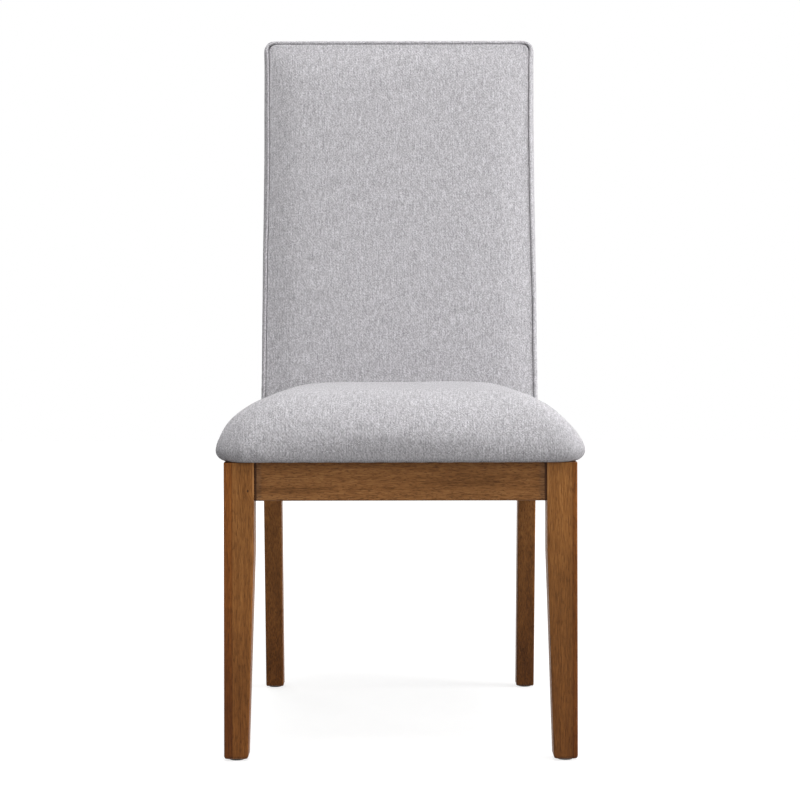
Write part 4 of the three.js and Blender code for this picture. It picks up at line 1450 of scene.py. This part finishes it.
@dataclass
class Backrest(Upholstery):
    """The upholstered back: a piped, crowned front over a boxing, and an outside back.

    Its own axes are across, into the back from its face, and up along the slope.
    """

    half: float = 0.20675
    length: float = 0.618979
    corner: float = 0.015
    wadding: float = 0.0019
    welt_radius: float = 0.0024
    welt_depth: float = 0.01475
    wander: float = 0.0002
    waist: float = 0.0042
    waist_up: float = 0.44
    waist_width: float = 0.17
    post_hold: float = 0.66
    gap: float = 0.0007
    foot: float = 0.008
    cover_foot: float = 0.391
    roll: float = 0.060
    shoulder: float = 0.040
    brim: float = 0.0032
    crown: float = 0.0026
    foam_back: float = 0.0278
    post_back: float = 0.086847
    cover_back: float = 0.091954
    rear_slope: float = -0.0504718
    rear_crown: float = 0.0013
    tongue_half: float = 0.166
    tongue_top: float = 0.4027
    face_rings: int = 22
    roll_rings: int = 16
    puff: float = 0.0010
    hollow: float = 0.0042
    band_width: float = 0.064
    strap: float = 0.05
    swelling: Swelling = Swelling(cap=0.0018, pressure=3.0)
    band_seam: Seam = Seam(fold=0.0014, width=0.0018, pucker=0.00018, pitch=0.019, fade=0.006)
    rear_seam: Seam = Seam(fold=0.0011, width=0.003, pucker=0.0002, pitch=0.023, fade=0.008)

    @property
    def behind_welt(self) -> float:
        """Depth just behind the piping."""
        return self.welt_depth + self.welt_radius + self.seam

    def placed(self, x: Array, into: Array, up: Array, drawn: bool = True) -> Array:
        """Points of the back's own axes set in the chair.

        Args:
            x: How far across.
            into: How deep in the back, from its face.
            up: How far up the slope.
            drawn: Whether the edges wander a little, and are drawn in below the top corners by
                a smooth hump, the waist, which is a third as deep over the posts.

        Returns:
            The placed points.
        """
        sine, cosine = math.sin(self.recline), math.cos(self.recline)
        side = np.sign(x)
        wave = self.wander * (np.sin(up * 31 + side) + np.sin(up * 57 + 2 * side))
        wave = wave - self.waist * bell(up - self.waist_up, self.waist_width) - 0.0004
        wave = wave * (1 - self.post_hold * part_of(into - 0.018, 0.010))
        near = part_of(np.abs(x), self.half) ** 12 * part_of(self.length - up, 0.03) * drawn
        y = self.front_face + self.seat_depth + into * cosine + up * sine
        z = self.rail_top - into * sine + up * cosine
        return np.stack(np.broadcast_arrays(x + side * wave * near, y, z), -1)

    def foot_at(self, into: Array | float) -> Array | float:
        """How far up the slope the covers begin, at a depth into the back."""
        rise = self.cover_foot - self.rail_top
        return (rise + into * math.sin(self.recline)) / math.cos(self.recline)

    def sunk(self, room: Array) -> Array:
        """How deep the front's face lies.

        It is the crown times the square of 1 less the share of the way to the middle, plus an
        even slope outside the shoulder, with a soft start, plus a quarter round at the brim.

        Args:
            room: Distance from the seam.

        Returns:
            The depth.
        """
        middle = self.half - 2 * self.welt_radius
        fall = self.slope * self.shoulder_ease
        flat = self.puff + self.crown * (1 - part_of(room, middle)) ** 2
        flat = flat + fall * soft_start((self.shoulder - room) / self.shoulder_ease)
        edge = self.puff + self.crown + fall * soft_start(self.shoulder / self.shoulder_ease)
        return flat + (self.welt_depth - edge) * quarter_round(room, self.brim)

    def front_path(self, share: Array) -> Ways:
        """The ways out over the front, round the seam, and behind the piping to the foam's back.

        The rings crowd together towards the seam. Just above the seat the face falls back as a
        smooth hump, the hollow.

        Args:
            share: How far round each way lies.

        Returns:
            Places on the ways and the outline's normals.
        """
        start = 2 * self.welt_radius
        low, high = self.foot, self.length - start
        middle, tall = (low + high) / 2, (high - low) / 2
        inner = np.array([self.half - start - self.roll, tall - self.roll])
        rings, depths = [], []
        for part in np.linspace(0, 1, self.face_rings + 1)[1:-1]:
            reach = inner * part
            radius = min(self.corner - start + 0.5 * self.roll, 0.9 * reach[0])
            rings.append((reach, radius))
        for part in np.linspace(1, 0, self.roll_rings + 1):
            draw = self.roll * part**1.8
            reach = inner + self.roll - draw
            reach[0] -= self.gap * (1 - part) ** 6
            rings.append((reach, self.corner - start + 0.5 * draw))
            depths.append(self.sunk(draw))
        inset = self.cloth + self.seam
        slab = np.array([self.half - inset, tall + (start - inset) / 2])
        behind = self.behind_welt
        slabs = (slab - 0.0008, slab, slab)
        rings += [rings[-1]] + [(reach, self.corner - inset) for reach in slabs]
        depths += [behind - 0.0006, behind, behind + 0.0008, self.foam_back]
        flat = [np.tile([0.0, middle], (len(share), 1))]
        for (wide, up), radius in rings:
            lift = middle + max(0.0, up - tall)
            place, normals = RoundedOutline(-wide, wide, lift - up, lift + up, radius).at(share)
            flat.append(place)
        flat = np.stack(flat)
        room = np.min(inner - np.abs(flat[: self.face_rings] - [0.0, middle]), axis=-1)
        face = self.sunk(self.roll + np.clip(room, 0, None))
        rim = np.broadcast_to(np.array(depths)[:, None], (len(depths), len(share)))
        path = raised(flat, np.concatenate([face, rim]))
        room = np.minimum(self.half - start - np.abs(path[..., 0]), path[..., 1] - low)
        hollow = self.hollow * bell(path[..., 1] - 0.06, 0.09) * part_of(room, self.roll)
        path[..., 2] += hollow * (path[..., 2] < self.welt_depth)
        return path, normals

    def add_front(self, tweed: Material) -> None:
        """Adds the front pad, a closed form whose face swells between the piping.

        Args:
            tweed: Its material.
        """
        grid = SquareGrid(self.face_rings + self.roll_rings + 4)
        ring, share = grid.places()
        path, normals = self.front_path(share)
        points, flat = carried(path, normals, ring)
        points, faces, flat = closed_below(grid, points, flat)
        x, up, into = points.T
        placed = self.placed(x, into, up)
        over = np.abs(placed[:, 0]) < self.tongue_half
        placed[:, 2] = np.where(over, np.maximum(placed[:, 2], self.tongue_top), placed[:, 2])
        piece = new_piece("back_front_pad", placed, faces[:, ::-1], flat)
        held = np.concatenate([ring, np.full(len(points) - len(ring), grid.rings)])
        self.swelling.apply(piece, held >= self.face_rings + self.roll_rings - 1)
        divided(piece)
        kept(piece, tweed, "grey_fabric", "back_front_cover", "back_foam")

    def arch(self, inset: float, foot: float) -> Sheet:
        """Stations up one side, over the top and down the other.

        Args:
            inset: How far the line lies inside the back's edge.
            foot: Where it starts, up the slope.

        Returns:
            Points, outward normals and lengths walked.
        """
        half, top = self.half - inset, self.length - inset
        radius = self.corner - inset
        turn = np.linspace(0, math.pi / 2, 10)
        round_in = np.stack([np.cos(turn), np.sin(turn)], -1)
        rise = np.linspace(foot, top - radius, 150, endpoint=False)
        over = np.linspace(half - radius, radius - half, 100)[1:-1]
        arc = [half - radius, top - radius] + radius * round_in
        right = np.concatenate([raised(np.full((len(rise), 1), half), rise), arc])
        crest = np.stack([over, np.full(len(over), top)], -1)
        points = np.concatenate([right, crest, right[::-1] * [-1, 1]])
        side = np.concatenate([np.tile([1.0, 0.0], (len(rise), 1)), round_in])
        above = np.tile([0.0, 1.0], (len(over), 1))
        normals = np.concatenate([side, above, side[::-1] * [-1, 1]])
        steps = np.linalg.norm(np.diff(points, axis=0), axis=1)
        return points, normals, np.concatenate([[0.0], np.cumsum(steps)])

    def add_welt(self, piping: Material) -> None:
        """Adds the piping: a round profile on the arch, a little uneven like a covered cord.

        Args:
            piping: Its material.
        """
        sides = 18
        points, normals, walked = self.arch(self.welt_radius, self.foot)
        angle = np.arange(sides) * math.tau / sides
        wave = 1 + 0.02 * np.sin(walked * 210) + 0.015 * np.sin(walked * 520 + 1)
        reach = self.welt_radius * (wave[:, None] * np.cos(angle))
        sink = self.welt_radius * (wave[:, None] * np.sin(angle))
        x = points[:, :1] + normals[:, :1] * reach
        up = points[:, 1:] + normals[:, 1:] * reach
        placed = self.placed(x, self.welt_depth + sink, up).reshape(-1, 3)
        cloth = np.stack(np.broadcast_arrays(angle * self.welt_radius, walked[:, None]), -1)
        faces = tube_faces(len(points), sides)
        piece = new_piece("back_piping", placed, faces, cloth.reshape(-1, 2))
        kept(turned_out(piece), piping, "grey_fabric", "back_welt")

    def band(
        self, inset: float, near: float, far: float, rows: int, bulge: float, drawn: bool = True
    ) -> Sheet:
        """A band of cloth over the back's edge: the arch carried from front to rear.

        Its depth runs evenly from the near edge to the rear line, and it stands out by the
        bulge times the sine of the way across. Its two edges turn in by a quarter round.

        Args:
            inset: How far it lies inside the back's edge.
            near: Depth of its front edge.
            far: Depth of its rear edge at the foot of the slope.
            rows: Rows of points across it.
            bulge: How far its middle stands out.
            drawn: Whether its edges wander.

        Returns:
            The points, faces and cloth places of the open band, facing out.
        """
        points, normals, walked = self.arch(inset, 0.0)
        top = self.length - self.corner
        across = (1 - np.cos(np.linspace(0, math.pi, rows))) / 2
        end = (far + self.rear_slope * points[:, 1])[:, None]
        into = near + (end - near) * across
        lift = part_of(top - points[:, 1:], top)
        room = np.minimum(into - near, end - into)
        relief = self.band_seam.relief(room, walked[:, None]) * (bulge > 0)
        out = bulge * np.sin(math.pi * across) + relief
        x = points[:, :1] + normals[:, :1] * out
        up = points[:, 1:] + lift * self.foot_at(into) + normals[:, 1:] * out
        placed = self.placed(x, into, up, drawn).reshape(-1, 3)
        cloth = np.stack(np.broadcast_arrays(into, walked[:, None]), -1).reshape(-1, 2)
        return placed, strip_faces(len(points), rows)[:, ::-1], cloth

    def add_boxing(self, tweed: Material, wadding: Material) -> None:
        """Adds the boxing over the sides and top, and the wadding under it, which it squeezes.

        Args:
            tweed: The boxing's material.
            wadding: The wadding's material.
        """
        band = self.band(0.0, self.behind_welt, self.cover_back, 15, 0.0008)
        boxing = new_piece("back_side_band", *band)
        walled(boxing, self.cloth)
        kept(boxing, tweed, "grey_fabric", "back_boxing")
        rows = 9
        outer, start = self.cloth + self.seam, self.foam_back + self.seam
        skin, faces, cloth = self.band(outer, start, self.post_back, rows, 0.0)
        inner = outer + self.wadding
        core, _, _ = self.band(inner, start, self.post_back, rows, 0.0, drawn=False)
        batting = new_piece("back_side_wadding", *between(skin, core, faces, cloth, rows))
        kept(turned_out(batting), wadding, "wadding", "back_wadding")

    def add_rear(self, tweed: Material) -> None:
        """Adds the outside back: one panel, turned in at its edge and stretched over the board.

        It lies on the rear plane, stands out by a smooth crown, and close to its edge sinks by
        a quarter round.

        Args:
            tweed: Its material.
        """
        grid = SquareGrid(30)
        ring, share = grid.places()
        inset = self.cloth + self.seam
        low, high = self.foot_at(self.cover_back), self.length - inset
        reach = np.array([self.half - inset, (high - low) / 2])
        middle = np.array([0.0, (low + high) / 2])
        outline = RoundedOutline(-reach[0], reach[0], low, high, self.corner - inset)
        edge, _ = outline.at(share)
        near = (grid.rings - ring) / grid.rings
        draw = np.where(near < 0.2, near * near / 0.4, near - 0.1) / 0.9
        flat = middle + (edge - middle) * (1 - draw)[:, None]
        room = np.min(reach - np.abs(flat - middle), axis=1)
        crown = self.rear_crown * (1 - np.clip(1 - room / 0.12, 0, 1) ** 2)
        relief = self.rear_seam.relief(room, flat[:, 0] + flat[:, 1])
        into = self.cover_back + self.rear_slope * flat[:, 1] + crown + relief
        points = self.placed(flat[:, 0], into, flat[:, 1])
        piece = new_piece("back_rear_panel", points, grid.faces()[:, ::-1], flat)
        walled(piece, self.cloth)
        kept(piece, tweed, "grey_fabric", "back_rear_cover")

    def add_webbing(self, webbing: Material) -> None:
        """Adds three straps across the posts, behind the foam.

        Args:
            webbing: Their material.
        """
        into = self.foam_back + self.seam
        for number in (1, 2, 3):
            low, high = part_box(f"back_webbing_{number}")
            middle = ((low.z + high.z) / 2 - self.rail_top) / math.cos(self.recline)
            middle += into * math.tan(self.recline)
            rows = np.linspace(middle - self.strap / 2, middle + self.strap / 2, 7)
            across = np.linspace(low.x, high.x, 81)
            x, up = (a.ravel() for a in np.meshgrid(across, rows))
            points = self.placed(x, np.full(len(x), into), up, drawn=False)
            faces = strip_faces(len(rows), len(across))
            piece = new_piece(f"back_strap_{number}", points, faces, np.stack([x, up], -1))
            walled(piece, self.cloth)
            kept(piece, webbing, "webbing", f"back_webbing_{number}")

    def build(self, shop: Workshop) -> None:
        """Adds the whole back.

        Args:
            shop: The finishes.
        """
        self.add_front(shop.tweed)
        self.add_welt(shop.piping)
        self.add_boxing(shop.tweed, shop.wadding)
        self.add_rear(shop.tweed)
        self.add_webbing(shop.webbing)


class Joinery:
    """The wooden frame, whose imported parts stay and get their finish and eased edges."""

    def __init__(self, nodes: dict[str, Piece]) -> None:
        """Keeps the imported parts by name.

        Args:
            nodes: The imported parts.
        """
        self.nodes = nodes
        self.shading = self.smooth_group()

    @staticmethod
    def smooth_group() -> bpy.types.NodeTree:
        """Makes a node group that shades faces smooth and leaves edges over 40 degrees sharp.

        Returns:
            The node group.
        """
        tree = bpy.data.node_groups.new("smooth_by_angle", "GeometryNodeTree")
        for way in ("INPUT", "OUTPUT"):
            kind = "NodeSocketGeometry"
            tree.interface.new_socket("Geometry", in_out=way, socket_type=kind)
        given, result = tree.nodes.new("NodeGroupInput"), tree.nodes.new("NodeGroupOutput")
        faces = tree.nodes.new("GeometryNodeSetShadeSmooth")
        edges = tree.nodes.new("GeometryNodeSetShadeSmooth")
        edges.domain = "EDGE"
        edges.inputs["Shade Smooth"].default_value = False
        angle = tree.nodes.new("GeometryNodeInputMeshEdgeAngle")
        sharp = tree.nodes.new("FunctionNodeCompare")
        sharp.operation = "GREATER_THAN"
        sharp.inputs[1].default_value = math.radians(40)
        tree.links.new(given.outputs[0], faces.inputs["Geometry"])
        tree.links.new(faces.outputs[0], edges.inputs["Geometry"])
        tree.links.new(angle.outputs[0], sharp.inputs[0])
        tree.links.new(sharp.outputs[0], edges.inputs["Selection"])
        tree.links.new(edges.outputs[0], result.inputs[0])
        return tree

    def dress(self, name: str, material: Material, ease: float = 0.0005) -> None:
        """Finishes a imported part: joined faces, eased edges and clean shading.

        Args:
            name: The part's name.
            material: Its material.
            ease: Width of the eased edges.
        """
        part = self.nodes[name]
        joined = part.modifiers.new("joined", "WELD")
        joined.merge_threshold = 2e-6
        flat = part.modifiers.new("flat_faces", "DECIMATE")
        flat.decimate_type = "DISSOLVE"
        flat.angle_limit = math.radians(0.6)
        eased = part.modifiers.new("eased_edges", "BEVEL")
        eased.width = ease
        eased.segments = 2
        eased.limit_method = "ANGLE"
        eased.angle_limit = math.radians(18)
        part.modifiers.new("shading", "NODES").node_group = self.shading
        part.modifiers.new("weighted", "WEIGHTED_NORMAL").keep_sharp = True
        part.data.materials.clear()
        part.data.materials.append(material)
        log.info("%s: finished in %s", name, material.name)

    def dress_sides(self, word: str, number: int) -> None:
        """Dresses the leg, post and side apron of one side.

        Args:
            word: The side's name.
            number: 0 on the left and 1 on the right.
        """
        # The leg's and post's painted levels are painted light and shade: lighter on the left and
        # darker on the right, against the side lamp.
        leg = StainedWood(
            shift=0.7 + 2.3 * number,
            glue_line=(0.2193, 0.2237)[number],
            knot_at=((-0.1985, 0.3512), None)[number],
            arris=0.1905,
            painted_level=1.09 - 0.09 * number,
        )
        post = StainedWood(shift=5.1 + 1.9 * number, painted_level=(1.07, 0.86)[number])
        apron = StainedWood(grain=Grain.FRONT_TO_BACK, shift=9.4 + 2.1 * number)
        for name, stain in (("front_leg", leg), ("rear_post", post), ("side_apron", apron)):
            self.dress(f"{name}_{word}", stain.material(f"stain_{name}_{word}"))

    def build(self) -> None:
        """Dresses every wooden part."""
        for number, word in enumerate(WORDS):
            self.dress_sides(word, number)
        across = Grain.CROSSWAYS
        front = StainedWood(grain=across, shift=13.2, ends=0.1905, reach=0.6, pored=0.5)
        rear = StainedWood(grain=across, shift=15.8)
        self.dress("front_apron", front.material("stain_front_apron"))
        self.dress("rear_apron", rear.material("stain_rear_apron"))
        block = BareTimber(shift=3.0).material("planed_block")
        for end in ("front", "rear"):
            for word in WORDS:
                self.dress(f"corner_block_{end}_{word}", block, 0.0006)
        rail = BareTimber(shift=6.0).material("planed_rail")
        for name in ("back_top_rail", "back_lower_rail"):
            self.dress(name, rail, 0.0008)
        ply = BareTimber((0.40, 0.25, 0.12), (0.62, 0.44, 0.24), plies=0.0024, shift=8.0)
        self.dress("seat_board", ply.material("plywood_board"), 0.0004)
        self.dress("back_board", Fibreboard().material("hardboard_panel"), 0.0003)


@dataclass
class Fastenings:
    """Screws in the corner blocks and glides under the feet."""

    nodes: dict[str, Piece]
    shank: float = 0.0021
    head: float = 0.0042
    head_height: float = 0.0026
    tip: float = 0.006
    pitch: float = 0.0016
    thread: float = 0.00035
    plain: float = 0.006
    slot: float = 0.0006
    slot_reach: float = 0.0026
    slot_depth: float = 0.0011
    sides: int = 20
    sole: float = 0.0094
    sole_round: float = 0.0006
    glide_sides: int = 40

    def screw_rings(self, length: float) -> Array:
        """Rings of a screw that stands on its tip, with 0 where the shank meets the head.

        The shank's radius shrinks by the thread times a triangle wave of the length walked over
        the pitch less the turn, and evenly over the tip. The head is a flattened dome, sunk
        where it lies within a slot of either of two crossed lines.

        Args:
            length: Length of the shank.

        Returns:
            The points, ring by ring from the tip.
        """
        turn = np.arange(self.sides) * math.tau / self.sides
        cosine, sine = np.cos(turn), np.sin(turn)
        walk = np.linspace(0, length, 61)[:, None]
        lead = np.abs((walk / self.pitch - turn / math.tau) % 1 - 0.5) * 2
        worn = np.clip((length - walk) / self.tip, 0.03, 1)
        threaded = part_of(walk - self.plain, 0.002)
        radius = (self.shank - self.thread * lead * threaded) * worn
        shank = np.stack(np.broadcast_arrays(radius * cosine, radius * sine, -walk), -1)
        part = np.linspace(0, 1, 9)[:, None] * math.pi / 2
        dome = self.head * np.cos(part) ** 0.6
        rise = self.head_height * (0.25 + 0.75 * np.sin(part))
        x, y = dome * cosine, dome * sine
        cross = (np.minimum(np.abs(x), np.abs(y)) < self.slot) & (np.hypot(x, y) < self.slot_reach)
        head = np.stack([x, y, rise - self.slot_depth * cross], -1)
        rim = np.stack([self.head * cosine, self.head * sine, 0.0 * turn], -1)
        return np.concatenate([shank[::-1], rim[None], head]).reshape(-1, 3)

    def add_screw(self, name: str, steel: Material) -> None:
        """Adds a screw with a helical thread and a crosshead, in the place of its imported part.

        Args:
            name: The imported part.
            steel: The screw's material.
        """
        low, high = (np.array(corner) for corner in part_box(name))
        axis = int(np.argmax(high - low))
        across = [k for k in range(3) if k != axis]
        rings = self.screw_rings(float((high - low)[axis]) - self.head_height)
        seat = (low + high) / 2
        placed = np.zeros_like(rings)
        placed[:, across] = rings[:, :2]
        if self.head_is_high(name, axis):
            seat[axis] = high[axis] - self.head_height
            placed[:, axis] = rings[:, 2]
        else:
            seat[axis] = low[axis] + self.head_height
            placed[:, axis] = -rings[:, 2]
        faces = tube_faces(len(rings) // self.sides, self.sides)
        piece = new_piece(name.replace("screw", "crosshead"), placed + seat, faces, smooth=False)
        kept(turned_out(piece), steel, "zinc_steel", name)

    def head_is_high(self, name: str, axis: int) -> bool:
        """Whether a packed screw's head is at its high end: where it is wider.

        Args:
            name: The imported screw.
            axis: The axis along which it lies.

        Returns:
            True if it is.
        """
        points = read_points(self.nodes[name].data)
        along = points[:, axis]
        reach = points - points.mean(0)
        reach[:, axis] = 0
        wide = np.linalg.norm(reach, axis=1)
        near = 0.002
        return wide[along > along.max() - near].max() > wide[along < along.min() + near].max()

    def add_glide(self, name: str, nylon: Material) -> None:
        """Adds a nailed glide: a turned profile with a rounded sole.

        Args:
            name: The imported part.
            nylon: The glide's material.
        """
        low, high = (np.array(corner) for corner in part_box(name))
        turn = np.arange(self.glide_sides) * math.tau / self.glide_sides
        angle = np.linspace(-math.pi / 2, 0, 6)
        sole = np.stack([self.sole + self.sole_round * np.cos(angle),
                         self.sole_round + self.sole_round * np.sin(angle)], -1)
        disc = [(0.0100, 0.0018), (0.0098, 0.0020)]
        nail = [(0.0014, 0.0020), (0.0014, 0.0120), (0.0003, 0.0140)]
        profile = np.array([(0.004, 0.0), *sole, *disc, *nail])
        x = profile[:, :1] * np.cos(turn)
        y = profile[:, :1] * np.sin(turn)
        rings = np.stack(np.broadcast_arrays(x, y, profile[:, 1:]), -1).reshape(-1, 3)
        rings += [*(low + high)[:2] / 2, low[2]]
        faces = tube_faces(len(profile), self.glide_sides)
        piece = new_piece(name.replace("glide", "nylon_glide"), rings, faces, smooth=False)
        kept(turned_out(piece), nylon, "nylon", name)

    def build(self, shop: Workshop) -> None:
        """Adds every screw and glide.

        Args:
            shop: The finishes.
        """
        for name in sorted(self.nodes):
            if "screw" in name:
                self.add_screw(name, shop.steel)
            elif name.startswith("glide"):
                self.add_glide(name, shop.nylon)


@dataclass
class Studio:
    """The plain room of the picture: a pale floor, soft lamps and a level camera."""

    eye: Colour = (-0.0077, -3.067, 0.600)
    lens: float = 96.6
    shift: Pair = (0.0071, -0.1258)
    roll: float = math.radians(0.10)
    aim: Colour = (0.0, 0.0, 0.5)
    ambient: float = 0.175
    top_power: float = 131.0
    side_power: float = 62.0
    front_power: float = 24.0
    fill_power: float = 16.0
    rear_power: float = 44.0
    near_glow: float = 0.77
    far_glow: float = 0.96
    floor_half: float = 6.0
    floor_drop: float = 0.0002

    def add_camera(self) -> None:
        """Adds a level camera in front of the chair, with its view let down by a small shift."""
        data = bpy.data.cameras.new("front_view")
        data.lens = self.lens
        data.sensor_width = 36.0
        data.shift_x, data.shift_y = self.shift
        camera = bpy.data.objects.new("front_view", data)
        camera.location = self.eye
        camera.rotation_euler = (math.pi / 2, self.roll, 0.0)
        bpy.context.scene.collection.objects.link(camera)
        bpy.context.scene.camera = camera

    def add_lamp(self, name: str, place: Colour, size: float, power: float) -> None:
        """Adds a square lamp that faces the chair.

        Args:
            name: Its name.
            place: Where it hangs.
            size: Length of its side.
            power: Its power in watts.
        """
        data = bpy.data.lights.new(f"{name}_lamp", "AREA")
        data.shape = "SQUARE"
        data.size = size
        data.energy = power
        lamp = bpy.data.objects.new(f"{name}_lamp", data)
        lamp.location = place
        towards = Vector(self.aim) - Vector(place)
        lamp.rotation_euler = towards.to_track_quat("-Z", "Y").to_euler()
        bpy.context.scene.collection.objects.link(lamp)

    def add_world(self) -> None:
        """Adds a world that is white where it is seen, and an even soft light otherwise."""
        world = bpy.data.worlds.new("white_room")
        graph = Graph(world)
        strength = graph.math("MULTIPLY_ADD", graph.seen(), 1 - self.ambient, self.ambient)
        background = graph.add("ShaderNodeBackground", {"Color": WHITE, "Strength": strength})
        graph.add("ShaderNodeOutputWorld", {0: background.outputs[0]})
        bpy.context.scene.world = world

    def add_floor(self) -> None:
        """Adds a wide pale floor, which keeps the chair's shadow and grows white further out."""
        graph = Graph(bpy.data.materials.new("pale_floor"))
        place = graph.place()
        mottle = graph.spread(graph.noise(place, (40, 40, 1), 3.0), 0.3, 0.7)
        colour = graph.mixed(mottle, (0.33, 0.33, 0.33), (0.35, 0.35, 0.35))
        matt = graph.add("ShaderNodeBsdfDiffuse", {"Color": colour})
        away = graph.add("ShaderNodeVectorMath", {0: place}, operation="LENGTH").outputs["Value"]
        strength = graph.spread(away, 0.7, 3.0, (self.near_glow, self.far_glow))
        glow = graph.math("MULTIPLY", graph.seen(), strength)
        light = graph.add("ShaderNodeEmission", {"Color": WHITE, "Strength": glow})
        both = graph.add("ShaderNodeAddShader", {0: matt.outputs[0], 1: light.outputs[0]})
        graph.add("ShaderNodeOutputMaterial", {0: both.outputs[0]})
        steps = np.linspace(-self.floor_half, self.floor_half, 9)
        flat = np.stack(np.meshgrid(steps, steps), -1).reshape(-1, 2)
        faces = strip_faces(len(steps), len(steps))
        floor = new_piece("floor", raised(flat, -self.floor_drop), faces, smooth=False)
        floor.data.materials.append(graph.owner)

    def build(self) -> None:
        """Sets up the whole room."""
        bpy.context.scene.view_settings.view_transform = "Standard"
        self.add_camera()
        self.add_world()
        self.add_floor()
        self.add_lamp("overhead", (0.2, -0.8, 4.0), 2.5, self.top_power)
        self.add_lamp("side", (2.5, -0.3, 0.9), 1.2, self.side_power)
        self.add_lamp("front", (0.3, -3.0, 2.6), 1.4, self.front_power)
        self.add_lamp("fill", (-2.4, -2.2, 1.8), 2.0, self.fill_power)
        self.add_lamp("rear", (-1.2, 3.2, 1.6), 2.0, self.rear_power)


def main() -> None:
    """Builds the room and the chair."""
    logging.basicConfig(level=logging.INFO, format="%(name)s: %(message)s")
    nodes = frame["nodes"]
    front_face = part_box("front_leg_left")[0].y
    Studio().build()
    shop = Workshop()
    Joinery(nodes).build()
    Fastenings(nodes).build(shop)
    SeatCushion(front_face).build(shop)
    Backrest(front_face).build(shop)


if __name__ == "__main__":
    main()
